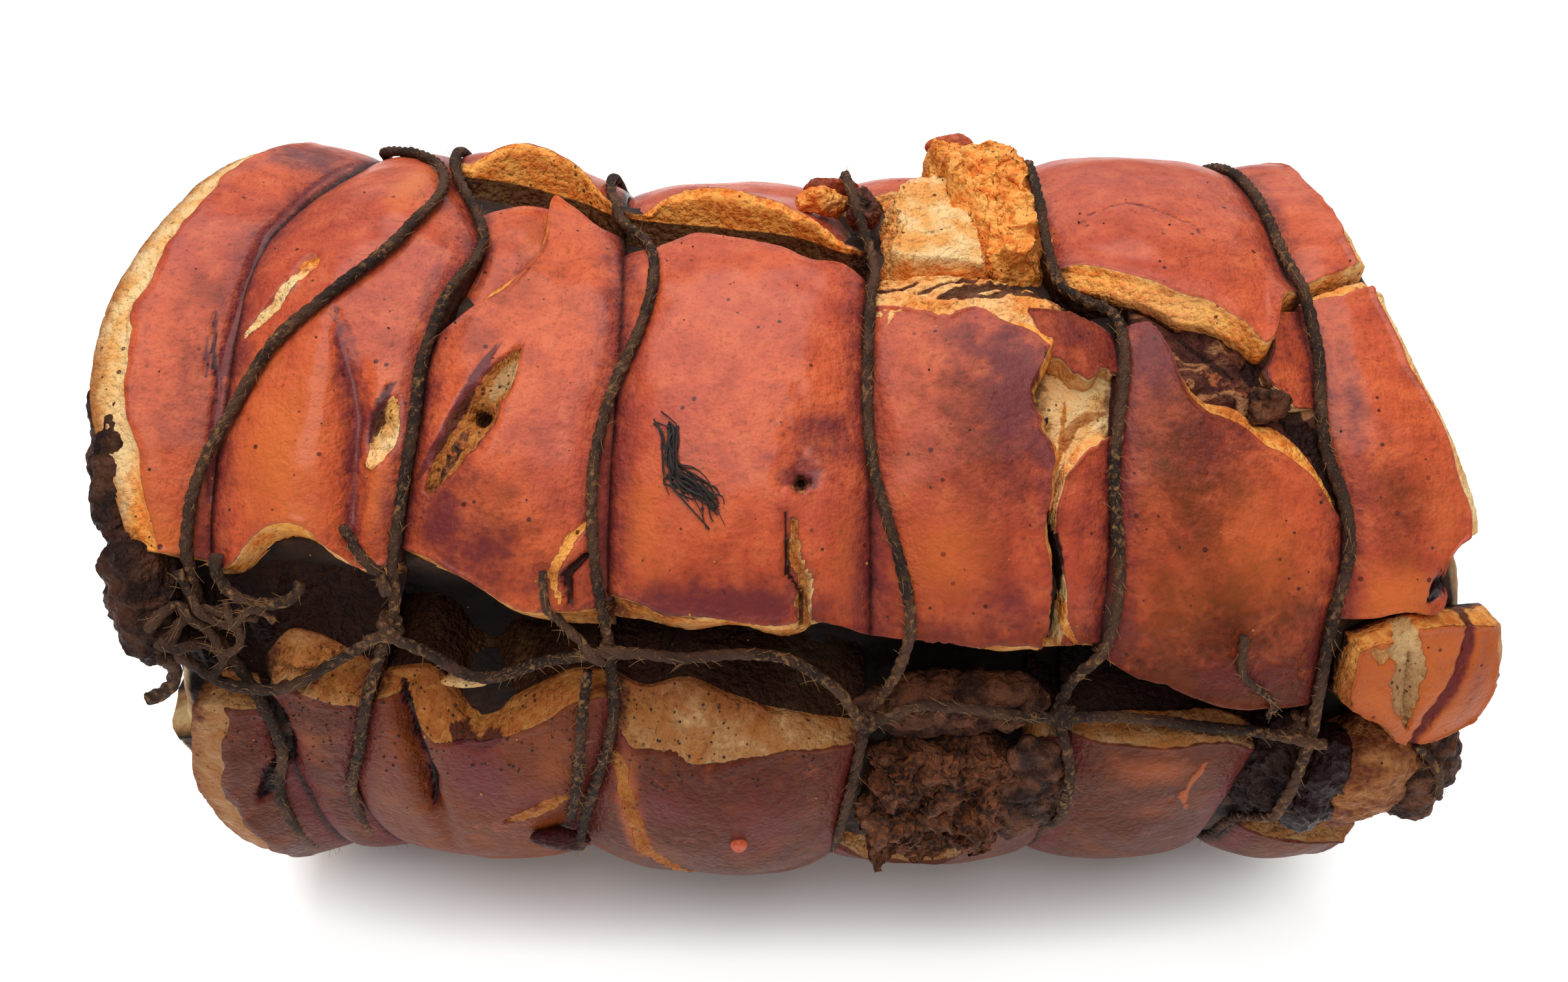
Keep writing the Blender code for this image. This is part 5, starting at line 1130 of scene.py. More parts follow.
class Core:
    """The meat under the rind: a sphere whose bands of latitude become two domed ends and what lies between.

    An end is its station, and its hills are (angle, spread, height), in millimetres and degrees.
    """

    BANDS = 300
    AROUND = 240
    DOME_BANDS = 34
    LEFT_END = -145
    LEFT_HILLS = ((55, 40, -3.0), (13, 18, 9.0))
    RIGHT_END = 138
    RIGHT_HILL = (2, 40, 17.0)
    DOME = 9.0
    ROUNDNESS = 2.6
    SPIRAL_TURNS = 2.2
    SPIRAL_RELIEF = 1.6
    LUMPS = 13.0
    STRANDS = 5.0
    FLAKES = 6.0
    FINER_AT = 8
    FINER_SPREAD = 26
    FINER = 2.2

    def __init__(self, limits: Limits) -> None:
        """Takes the box that the core stays inside."""
        self._limits = limits

    def build(self, material: Material) -> Piece:
        """Builds the core, with the open seam sunk into it."""
        bm = bmesh.new()
        bmesh.ops.create_uvsphere(bm, u_segments=self.AROUND, v_segments=self.BANDS, radius=1.0)
        mesh = mesh_of(bm, "meat_core")
        x, y, z = corners_of(mesh).T
        band = np.rint(np.arccos(np.clip(z, -1, 1)) / np.pi * self.BANDS)
        turn = np.arctan2(y, x)
        angle = self._crowded(np.degrees(turn) % 360)
        left_end = self.LEFT_END + sum(high * bell((angle - at) / wide) for at, wide, high in self.LEFT_HILLS)
        at, wide, high = self.RIGHT_HILL
        right_end = self.RIGHT_END + high * bell(signed(angle - at) / wide)
        along = np.clip((band - self.DOME_BANDS) / (self.BANDS - 2 * self.DOME_BANDS), 0, 1)
        station = left_end + (right_end - left_end) * along
        share = np.clip(np.minimum(band, self.BANDS - band) / self.DOME_BANDS, 0, 1)
        side = np.where(band < self.BANDS / 2, -1.0, 1.0)
        spiral = np.cos(2 * np.pi * (self.SPIRAL_TURNS * share - turn / (2 * np.pi)))
        at_end = (share < 1).astype(float)
        dome = self.DOME * np.sqrt(np.clip(1 - share**self.ROUNDNESS, 0, 1))
        bulge = at_end * (dome + self.SPIRAL_RELIEF * spiral * np.sin(np.pi * share))
        opening = np.exp(-((np.abs(signed(angle - through(SEAM_MIDDLE, station))) / SEAM_HALF_OPENING) ** 4))
        radius = body_radius(station, angle) - MEAT_DEPTH - through(SEAM_DEPTH, station) * opening
        out = radius * share
        level = np.radians(angle)
        spots = np.stack([station + side * bulge, out * np.cos(level), out * np.sin(level)], axis=1)
        strands = GRAIN.ridges(spots * (0.25, 1.0, 1.0), self.STRANDS, 3) - 0.5
        lumps = GRAIN.fractal(spots, self.LUMPS, 4)
        flakes = GRAIN.ridges(spots, self.FLAKES, 4)
        radius = radius + (1.6 * lumps + 1.4 * strands) * np.where(share < 1, 0.3, 1.0)
        bulge = bulge + at_end * (1.2 * lumps + 0.8 * flakes) * smooth((1 - share) * 8)
        move_corners(mesh, self._limits.keep(place(station + side * bulge, angle, radius * share)))
        layer = at_end * smooth((spiral - 0.55) / 0.3) * smooth(share / 0.2)
        rim_fat = at_end * smooth((share - 0.9) / 0.04)
        paint_tint(mesh, "fat", np.clip(0.75 * layer + rim_fat, 0, 1))
        paint_tint(mesh, "strand", strands + 0.5)
        # Painted shade: the core's sides under the rind are tinted dark, darkest in the open seam.
        paint_tint(mesh, "dark", np.clip(0.9 * opening + 0.5, 0, 1) * (share >= 1))
        return new_object("meat_core", mesh, material)

    def _crowded(self, angle: Array) -> Array:
        """Crowds the columns towards the open seam."""
        fine = np.linspace(-180, 180, 3601)
        density = 1.0 + self.FINER * bell((fine - self.FINER_AT) / self.FINER_SPREAD)
        run = np.concatenate([[0], np.cumsum((density[1:] + density[:-1]) / 2)])
        return np.interp((signed(angle) + 180) / 360 * run[-1], run, fine) % 360


@dataclass(frozen=True)
class Lump:
    """A lump of fat or meat that stands out of the roast.

    sizes are its half lengths in millimetres, tilt its turn on the surface in degrees, sink how far its
    middle lies under the roll's outside, rough how high its relief stands, and level how fine its mesh is.
    """

    name: str
    station: float
    angle: float
    sizes: tuple[float, float, float]
    tilt: float
    sink: float
    rough: float
    tints: dict[str, float]
    level: int = 6

    def build(self, limits: Limits, material: Material) -> Piece:
        """Builds a finely divided ball, scaled, roughened and set on the roast.

        Args:
            limits: The box that it stays inside.
            material: What it is made of.

        Returns:
            The piece.
        """
        bm = bmesh.new()
        bmesh.ops.create_icosphere(bm, subdivisions=self.level, radius=1.0)
        mesh = mesh_of(bm, self.name)
        ball = corners_of(mesh)
        spots = ball * self.sizes
        seeded = spots + self.station
        relief = GRAIN.fractal(seeded, 9.0, 4) + 0.9 * (GRAIN.ridges(seeded, 5.0, 4) - 0.5)
        spots = spots + ball * (self.rough * relief + 0.5 * GRAIN.fractal(seeded, 14.0, 2))[:, None]
        station, angle = np.array([self.station]), np.array([self.angle])
        centre = Vector(place(station, angle, body_radius(station, angle) - self.sink)[0])
        stand = Matrix.Rotation(np.radians(90 - self.angle), 4, "X")
        turn = Matrix.Rotation(np.radians(self.tilt), 4, "Z")
        pose = np.array(Matrix.Translation(centre) @ stand @ turn)
        world = (spots * MM) @ pose[:3, :3].T + pose[:3, 3]
        move_corners(mesh, limits.keep(world))
        for name in TINTS:
            paint_tint(mesh, name, np.full(len(ball), self.tints.get(name, 0.0)))
        return new_object(self.name, mesh, material)


LUMPS = [
    Lump("torn_corner", 58.0, 352.5, (9, 20, 5), 0, 2.6, 2.2, {"brown": 1.0, "plum": 0.6, "meat": 0.75,
                                                               "dark": 0.25}),
    Lump("shard_skin", 45.5, 112.5, (7, 2.6, 3.0), -20, -7.0, 0.7, {"plum": 0.3, "brown": 0.4}, 5),
    Lump("cream_bit", 10.5, 95, (6.5, 2.6, 3.2), 15, 1.0, 2.2, {"fat": 1.0, "amber": 0.6, "plum": 0.3}, 6),
    Lump("scrap_skin", 12.5, 100, (7, 1.8, 3), 12, 0.0, 0.8, {"brown": 0.5, "plum": 0.3}, 6),
    Lump("brown_bit", 20, 92, (4.0, 8, 4.5), 0, 1.0, 2.2, {"brown": 1.0, "plum": 0.8, "meat": 0.55}, 6),
    Lump("meat_nub", 104.5, 51.8, (4.4, 4.6, 3.4), 20, 1.4, 2.2, {"meat": 1.0, "dark": 0.35, "amber": 0.35},
         6),
    Lump("fat_knob", 139, 353, (13.5, 20, 11), -8, 7.0, 0.9, {"fat": 1.0, "raw": 0.8, "amber": 0.5,
                                                              "brown": 1.0, "plum": 0.6}),
    Lump("end_meat", 154, 352, (10, 20, 13), 0, 8.0, 1.5, {"meat": 1.0, "dark": 0.55}),
    Lump("seam_meat", 119, 354, (10, 20, 9), 0, 9.3, 2.2, {"meat": 1.0, "dark": 1.0}),
    Lump("grey_fat", -72.5, 13.8, (5.5, 1.8, 1.6), 0, 6.2, 0.3, {"fat": 1.0, "pale": 0.4, "brown": 0.5,
                                                                 "plum": 0.3}, 5),
    Lump("seam_strip", 38, 368.5, (23, 8, 6), 3, 9.0, 2.0, {"meat": 1.0, "amber": 0.25, "dark": 0.3}),
    Lump("charred_goo", 129, 352, (7, 19, 9), 0, 5.5, 1.6, {"plum": 1.0, "dark": 0.95, "brown": 1.0}),
    Lump("pink_nub", -11, 347, (2.0, 2.2, 2.0), 0, 0.3, 0.1, {}, 4),
    Lump("goo_tail", -57, 338.5, (7.5, 3.0, 2.6), -10, 0.0, 0.9, {"plum": 1.0, "dark": 0.8, "brown": 1.0}, 5),
    Lump("left_meat_low", -140, 27, (9, 17, 9), 10, 8.0, 1.6, {"meat": 1.0, "dark": 0.82}),
    Lump("left_meat_high", -146, 49, (7.5, 24, 9), 0, 11.0, 1.5, {"meat": 1.0, "dark": 0.82}),
]


class Tubes:
    """Round strings along lines of points, all in one mesh."""

    STRANDS = 3
    START = (0.31, -0.2, 0.93)
    NEARLY_ROUND = 6.283
    WELD = 1e-7

    def __init__(self, name: str) -> None:
        """Starts a mesh with this name."""
        self._name = name
        self._bm = bmesh.new()
        self._ply = self._bm.verts.layers.float.new("ply")

    def add(
        self,
        line: Array,
        radius: Union[float, Array],
        sides: int = 12,
        closed: bool = False,
        outwards: Optional[Array] = None,
        twist: float = 0.0,
        lobes: float = 0.0,
    ) -> None:
        """Rolls a grid round a line and welds its seams.

        Args:
            line: Points in metres, evenly spaced.
            radius: In millimetres, one for all or one for each point.
            sides: Faces round the string.
            closed: Whether the last point leads back to the first.
            outwards: A direction at each point that the roll starts from.
            twist: Turns of the strands for each millimetre of length.
            lobes: How deep the valleys between the strands are, as a share of the radius.
        """
        count = len(line)
        radius = np.broadcast_to(np.asarray(radius, float), (count,))
        ahead = unit(np.roll(line, -1, 0) - np.roll(line, 1, 0) if closed else np.gradient(line, axis=0))
        if outwards is None:
            outwards = np.broadcast_to(np.array(self.START), line.shape)
        across = unit(outwards - (outwards * ahead).sum(1, keepdims=True) * ahead)
        over = np.cross(ahead, across)
        run = running_length(line) / MM
        segments = count if closed else count - 1
        grid = bmesh.ops.create_grid(self._bm, x_segments=segments, y_segments=sides, size=0.5)["verts"]
        spots = np.array([vert.co for vert in grid])
        i = np.rint((spots[:, 0] + 0.5) * segments).astype(int)
        turn = (spots[:, 1] + 0.5) * 2 * np.pi
        wrapped = i % count
        turns = np.rint(twist * (run[-1] + np.linalg.norm(line[0] - line[-1]) / MM)) if closed else 0
        phase = 2 * np.pi * (turns * i / segments if closed else twist * run[wrapped])
        ply = np.abs(np.cos(self.STRANDS / 2 * (turn - phase * 2 / self.STRANDS)))
        size = radius[wrapped] * (1 - lobes * (1 - ply)) * MM
        round_it = np.cos(turn)[:, None] * across[wrapped] + np.sin(turn)[:, None] * over[wrapped]
        for vert, spot, share in zip(grid, line[wrapped] + size[:, None] * round_it, ply):
            vert.co = spot
            vert[self._ply] = share
        at_seam = (turn < 1e-6) | (turn > self.NEARLY_ROUND)
        if closed:
            at_seam |= (i == 0) | (i == count)
        seam = [vert for vert, meets in zip(grid, at_seam) if meets]
        bmesh.ops.remove_doubles(self._bm, verts=seam, dist=self.WELD)
        if not closed:
            open_edges = [edge for edge in self._bm.edges if edge.is_boundary]
            bmesh.ops.holes_fill(self._bm, edges=open_edges, sides=sides)

    def finish(self, limits: Limits, material: Material) -> Piece:
        """Makes the one mesh, inside the limits, and gives it its material."""
        mesh = mesh_of(self._bm, self._name)
        move_corners(mesh, limits.keep(corners_of(mesh)))
        return new_object(self._name, mesh, material)


class Ground:
    """What lies under the strings and crumbs: it answers how far out the roast's surface is at a place."""

    REACH = 140.0
    UNDERSIDE_AT = 300
    UNDERSIDE_HALF = 50
    UNDERSIDE_BLEND = 20
    LEAST_HEIGHT = 0.2
    SLACK = 0.4

    def __init__(self, pieces: Sequence[Piece]) -> None:
        """Gathers the faces of these pieces."""
        bm = bmesh.new()
        for piece in pieces:
            bm.from_mesh(piece.data)
        self._tree = BVHTree.FromBMesh(bm)
        bm.free()

    def _look_in(self, station: float, angle: float) -> tuple[Vector, Optional[Vector], Optional[Vector]]:
        """Looks from outside towards the axis."""
        start, axis = (
            Vector(place(np.array(station), np.array(angle), np.array(reach))) for reach in (self.REACH, 0.0)
        )
        hit, normal, _, _ = self._tree.ray_cast(start, (axis - start).normalized())
        return axis, hit, normal

    def radius(self, station: float, angle: float) -> float:
        """Distance from the axis to the outermost surface here, in millimetres."""
        axis, hit, _ = self._look_in(station, angle)
        return (hit - axis).length / MM if hit else 0.0

    def facing(self, station: float, angle: float) -> tuple[Vector, Vector]:
        """The surface point here, in metres, and the way it faces."""
        axis, hit, normal = self._look_in(station, angle)
        if hit is None:
            return axis, Vector((0, 0, 1))
        return hit, normal

    def lay(self, station: Array, angle: Array, radius: float, sink: float, taut: int, closed: bool) -> Array:
        """Lays a string over the surface.

        Args:
            station: Stations along the string.
            angle: Angles along it.
            radius: The string's radius in millimetres.
            sink: How far below the roll's smooth outside it may go where nothing holds it up.
            taut: How many times it is pulled straight between its high points.
            closed: Whether it is a loop.

        Returns:
            Points along its middle, in metres.
        """
        reach = np.array([
            max(self.radius(s + shift, a) for shift in (-0.7 * radius, 0.0, 0.7 * radius))
            for s, a in zip(station, angle)
        ])
        from_under = np.abs(signed(angle - self.UNDERSIDE_AT))
        under = smooth((self.UNDERSIDE_HALF - from_under) / self.UNDERSIDE_BLEND)
        reach = np.maximum(reach + radius - 3 * under, body_radius(station, angle) - sink - 7 * under)
        held = reach.copy()
        for _ in range(taut):
            before, after = self._beside(held, closed)
            held = np.maximum(held, (before + after) / 2)
        blurred = held.copy()
        for _ in range(2):
            before, after = self._beside(blurred, closed)
            blurred = (before + 2 * blurred + after) / 4
        points = place(station, angle, np.maximum(blurred, held - self.SLACK))
        points[:, 2] = np.maximum(points[:, 2], (radius + self.LEAST_HEIGHT) * MM)
        return points

    @staticmethod
    def _beside(values: Array, closed: bool) -> tuple[Array, Array]:
        """The value before each one, and the value after it."""
        first, last = (values[-1:], values[:1]) if closed else (values[:1], values[-1:])
        return np.concatenate([first, values[:-1]]), np.concatenate([values[1:], last])


def evenly(line: Array, spacing: float, closed: bool) -> Array:
    """Reads points evenly along a smooth curve.

    Args:
        line: Points that the curve passes.
        spacing: How far apart the new points are, in millimetres.
        closed: Whether the curve comes back to its start.

    Returns:
        The new points.
    """
    if closed:
        line = np.concatenate([line, line[:1]])
    run = running_length(line)
    count = int(run[-1] / MM / spacing)
    at = np.linspace(0, run[-1], count, endpoint=not closed)
    return np.stack([through(list(zip(run, column)), at) for column in line.T], axis=1)


def away_from_axis(line: Array) -> Array:
    """At each point, the direction straight out from the roll's axis."""
    out = line - np.array([0.0, MIDDLE.y, AXIS_HEIGHT])
    out[:, 0] = 0.0
    return unit(out)


class Twine:
    """The strings that tie the roast, with their knots and stray fibres.

    Lengths are in millimetres. A laid string is (its points, how far it sinks, how often it is pulled taut).
    """

    TWIST = 0.15
    LOBES = 0.28
    SPACING = 0.75
    WANDER = 0.16
    LAID_LOOP = (150, 5.5, 4)
    LAID_SEAM = (130, 3.5, 6)
    LAID_CURL = (30, 2.0, 6)
    LAID_STRAY = (36, 3.0, 3)
    RING_POINTS = 24
    FIBRE_WIDTHS = (0.09, 0.03, 5)
    MOST_FIBRES = 150
    SHOWN_UP_TO = 0.03

    def __init__(
        self, ground: Ground, roast: Sequence[Piece], limits: Limits, paints: "Paints"
    ) -> None:
        """Remembers what the strings lie on.

        Args:
            ground: The roast's surface.
            roast: The pieces that it is made of.
            limits: The box that the strings stay inside.
            paints: The materials.
        """
        self._ground = ground
        self._limits = limits
        self._paints = paints
        self._under = list(roast)
        self._lines: list[Array] = []
        self._chance = np.random.default_rng(7)

    def build(self) -> None:
        """Builds every string over what lies under it, then the knots and the fibres."""
        for number, knots in enumerate(LOOPS, start=1):
            count, sink, taut = self.LAID_LOOP
            angle = np.linspace(knots[0][0], knots[-1][0], count, endpoint=False)
            line = self._ground.lay(through(knots, angle), angle, TWINE_RADIUS, sink, taut, True)
            self._string(f"loop_{number}", line, True)
        for name, knots, laid in (
            ("lengthwise", SEAM_STRING, self.LAID_SEAM),
            ("curled_end", CURLED_END, self.LAID_CURL),
        ):
            count, sink, taut = laid
            line = Ground(self._under).lay(*route(knots, count), TWINE_RADIUS, sink, taut, False)
            self._string(name, line, False)
        self._strays()
        self._fibres()

    def _string(self, name: str, line: Array, closed: bool) -> None:
        """Builds one long string, which later ones lie on."""
        line = evenly(line, self.SPACING, closed)
        wander = np.stack([GRAIN.at(line / MM + 9.1 * axis, 9.0) for axis in range(3)], axis=1)
        line = line + self.WANDER * MM * wander
        self._lines.append(line)
        width = TWINE_RADIUS * (1 + 0.10 * GRAIN.fractal(line / MM, 5.0, 2))
        tubes = Tubes(f"string_{name}")
        tubes.add(line, width, 14, closed, away_from_axis(line), self.TWIST, self.LOBES)
        piece = tubes.finish(self._limits, self._paints.twine)
        self._under.append(belongs(piece, "kitchen_twine", f"twine_{name}"))

    def _strays(self) -> None:
        """Builds the short ends and the knots, which lie over the long strings."""
        ground = Ground(self._under)
        tubes = Tubes("string_ends_and_knots")
        count, sink, taut = self.LAID_STRAY
        for knots, start, end in STRAY_STRINGS:
            line = ground.lay(*route(knots, count), start, sink, taut, False)
            line = evenly(line, self.SPACING, False)
            self._lines.append(line)
            width = np.linspace(start, end, len(line)) * (1 + 0.2 * GRAIN.fractal(line / MM, 4.0, 2))
            tubes.add(line, width, 12, False, away_from_axis(line), self.TWIST, self.LOBES)
        for station, angle, rings in KNOTS:
            hit, normal = ground.facing(station, angle)
            for _ in range(rings):
                ring = self._ring(hit, normal)
                tubes.add(ring, self._chance.uniform(0.8, 1.1), 10, True, None, self.TWIST, self.LOBES)
        belongs(tubes.finish(self._limits, self._paints.twine), "kitchen_twine")

    def _ring(self, hit: Vector, normal: Vector) -> Array:
        """One turn of string in a knot."""
        across = Vector(self._chance.normal(size=3)).cross(normal).normalized()
        over = (normal + 0.5 * Vector(self._chance.normal(size=3))).normalized()
        middle = hit - normal * 1.0 * MM + across * self._chance.uniform(-0.9, 0.9) * MM
        wide, tall = self._chance.uniform(1.7, 2.5) * MM, self._chance.uniform(1.2, 2.0) * MM
        turn = np.linspace(0, 2 * np.pi, self.RING_POINTS, endpoint=False)
        return np.array([middle + across * wide * np.cos(t) + over * tall * np.sin(t) for t in turn])

    def _fibres(self) -> None:
        """Builds the short fibres that have worked loose, all over the strings that show."""
        tubes = Tubes("twine_fibres")
        for line in self._lines:
            ahead, out = unit(np.gradient(line, axis=0)), away_from_axis(line)
            shown = [i for i in range(2, len(line) - 2) if line[i][1] < self.SHOWN_UP_TO]
            count = min(len(shown) // 2, self.MOST_FIBRES)
            for i in self._chance.choice(shown, size=count, replace=False):
                tubes.add(self._hair(line[i], ahead[i], out[i]), np.linspace(*self.FIBRE_WIDTHS), 3)
        belongs(tubes.finish(self._limits, self._paints.fibre), "kitchen_twine")

    def _hair(self, spot: Array, ahead: Array, out: Array) -> Array:
        """One loose fibre."""
        side = np.cross(ahead, out) * self._chance.uniform(-1, 1)
        rise = out * self._chance.uniform(0.2, 1.0) + side
        rise /= np.linalg.norm(rise)
        along = ahead * self._chance.choice([-1, 1]) * self._chance.uniform(0.5, 1.6)
        length = self._chance.uniform(1.2, 3.6)
        share = np.linspace(0, 1, self.FIBRE_WIDTHS[2])[:, None]
        start = spot + rise * 1.15 * MM
        return start + length * MM * (along * share * 0.7 + rise * 0.75 * share**1.5)


class Tuft:
    """The dry sprig of herbs that clings to the middle of the rind."""

    STALKS = 64
    POINTS = 9
    STRAY_EVERY = 9
    DRIFT = (0.75, 0.9, 0.6)
    THICKNESS = (0.14, 0.34)

    def __init__(self, ground: Ground, limits: Limits) -> None:
        """Takes what the sprig lies on and the box that it stays inside."""
        self._ground = ground
        self._limits = limits

    def build(self, material: Material) -> Piece:
        """Builds a tangle of thin dark stalks along the sprig's line."""
        chance = np.random.default_rng(19)
        tubes = Tubes("herb_stalks")
        station, angle = np.array(TUFT, float).T
        share = np.linspace(0, 1, len(TUFT))
        for stalk in range(self.STALKS):
            start = chance.uniform(0.0, 0.75)
            at = np.linspace(start, min(1.0, start + chance.uniform(0.2, 0.55)), self.POINTS)
            drift = chance.normal(size=(2, 3)) * self.DRIFT
            bend = np.sin(np.linspace(0, np.pi * chance.uniform(0.6, 2.2), self.POINTS))
            s = np.interp(at, share, station) + drift[0, 0] + drift[1, 0] * bend
            a = np.interp(at, share, angle) + (drift[0, 1] + drift[1, 1] * bend) / ARC
            if stalk % self.STRAY_EVERY == 0:
                a = a - np.linspace(0, chance.uniform(1.5, 4.0), self.POINTS)
            base = np.array([self._ground.radius(x, y) for x, y in zip(s, a)])
            high = base + 0.35 + abs(drift[0, 2]) * 1.6 * np.abs(bend)
            radius = chance.uniform(*self.THICKNESS) * np.linspace(1, 0.5, self.POINTS)
            tubes.add(place(s, a, high), radius, 5)
        piece = tubes.finish(self._limits, material)
        return belongs(piece, "dry_herbs", "herb_tuft")


class Wire:
    """A shader socket that does arithmetic by adding nodes."""

    def __init__(self, paint: "Paint", socket: Socket) -> None:
        """Wraps one output of one of the material's nodes."""
        self.paint = paint
        self.socket = socket

    def _math(self, operation: str, first: object, second: object = 0.0) -> "Wire":
        """Adds a Math node with this operation on these two."""
        return self.paint.node("ShaderNodeMath", {0: first, 1: second}, operation=operation)

    def __add__(self, other: object) -> "Wire":
        """This plus the other."""
        return self._math("ADD", self, other)

    def __radd__(self, other: object) -> "Wire":
        """The other plus this."""
        return self._math("ADD", other, self)

    def __sub__(self, other: object) -> "Wire":
        """This minus the other."""
        return self._math("SUBTRACT", self, other)

    def __rsub__(self, other: object) -> "Wire":
        """The other minus this."""
        return self._math("SUBTRACT", other, self)

    def __mul__(self, other: object) -> "Wire":
        """This times the other."""
        return self._math("MULTIPLY", self, other)

    def __rmul__(self, other: object) -> "Wire":
        """The other times this."""
        return self._math("MULTIPLY", other, self)

    def __truediv__(self, other: object) -> "Wire":
        """This divided by the other."""
        return self._math("DIVIDE", self, other)

    def __rtruediv__(self, other: object) -> "Wire":
        """The other divided by this."""
        return self._math("DIVIDE", other, self)

    def most(self, other: object) -> "Wire":
        """The larger of this and the other."""
        return self._math("MAXIMUM", self, other)

    def step(self, low: float, high: float) -> "Wire":
        """0 below low, 1 above high and smooth between."""
        inputs = {"Value": self, "From Min": low, "From Max": high}
        return self.paint.node("ShaderNodeMapRange", inputs, interpolation_type="SMOOTHSTEP")


def srgb(red: float, green: float, blue: float) -> Colour:
    """A colour given as it looks on screen, from 0 to 255, as the shaders want it."""
    share = np.array([red, green, blue]) / 255
    return tuple(np.where(share <= 0.04045, share / 12.92, ((share + 0.055) / 1.055) ** 2.4))


class Paint:
    """One material under construction."""

    def __init__(self, name: str, roughness: float = 0.5) -> None:
        """Starts a material with this name and roughness."""
        self.material = bpy.data.materials.new(name)
        self.material.use_nodes = True
        self._tree = self.material.node_tree
        self._shader = self._tree.nodes["Principled BSDF"]
        self._shader.inputs["Roughness"].default_value = roughness
        coordinates = self._tree.nodes.new("ShaderNodeTexCoord")
        self.where = Wire(self, coordinates.outputs["Object"])

    def node(self, kind: str, inputs: dict, output: Union[int, str] = 0, **settings: object) -> Wire:
        """Adds a node.

        Args:
            kind: The node's type.
            inputs: A value or a wire for each input, by name or number.
            output: Which output is wanted.
            settings: What is set on the node first.

        Returns:
            That output.
        """
        made = self._tree.nodes.new(kind)
        for name, value in settings.items():
            setattr(made, name, value)
        for name, value in inputs.items():
            self._feed(made.inputs[name], value)
        return Wire(self, made.outputs[output])

    def _feed(self, socket: Socket, value: object) -> None:
        """Links a wire to an input, or sets its value."""
        if isinstance(value, Wire):
            self._tree.links.new(value.socket, socket)
        elif isinstance(value, tuple) and len(value) == 3 and socket.type == "RGBA":
            socket.default_value = (*value, 1.0)
        else:
            socket.default_value = value

    def tint(self, name: str) -> Wire:
        """The number stored at each vertex under this name."""
        return self.node("ShaderNodeAttribute", {}, "Fac", attribute_name=name)

    def noise(
        self, scale: float, detail: float = 3.0, where: Optional[Wire] = None, warp: float = 0.0
    ) -> Wire:
        """Makes cloudy noise about 0.5.

        Args:
            scale: How many lumps there are to the metre.
            detail: How many times finer noise is added.
            where: The coordinates to read, if not the object's own.
            warp: How much it is distorted.

        Returns:
            The noise.
        """
        inputs = {"Vector": where or self.where, "Scale": scale, "Detail": detail, "Distortion": warp}
        return self.node("ShaderNodeTexNoise", inputs)

    def specks(self, scale: float, rare: float, size: float) -> Wire:
        """Makes dots of many sizes.

        Args:
            scale: How many cells there are to the metre, with a dot in some of them.
            rare: The draw, from 0 to 1, that a cell has to pass.
            size: The largest dot's radius, as a share of a cell.

        Returns:
            1 in a dot and 0 outside.
        """
        cell = {"Vector": self.where, "Scale": scale}
        draw = self.node("ShaderNodeTexVoronoi", cell, "Color")
        radius = (self.node("ShaderNodeSeparateColor", {"Color": draw}) - rare) * (size / (1 - rare))
        return (radius - self.node("ShaderNodeTexVoronoi", cell)).step(0.0, 0.07)

    def stretched(self, scale: tuple[float, float, float], turn: tuple[float, float, float]) -> Wire:
        """The coordinates scaled and turned, so that noise on them is drawn out."""
        return self.node("ShaderNodeMapping", {"Vector": self.where, "Scale": scale, "Rotation": turn})

    def mix(self, first: object, second: object, share: object) -> Wire:
        """A colour between two."""
        inputs = {"Factor": share, 6: first, 7: second}
        return self.node("ShaderNodeMix", inputs, 2, data_type="RGBA")

    def layers(self, colour: object, *over: tuple[object, object]) -> object:
        """Lays colours over the first one.

        Args:
            colour: What lies under them all.
            over: Each further colour and its share.

        Returns:
            The last mix.
        """
        for above, share in over:
            colour = self.mix(colour, above, share)
        return colour

    def bump(self, height: Wire, distance: float) -> Wire:
        """A normal that stands the height out, distance in metres."""
        return self.node("ShaderNodeBump", {"Height": height, "Distance": distance, "Strength": 1.0})

    def set(self, **inputs: object) -> Material:
        """Feeds the shader's own inputs, with _ for a space, and returns the material."""
        for name, value in inputs.items():
            self._feed(self._shader.inputs[name.replace("_", " ")], value)
        return self.material


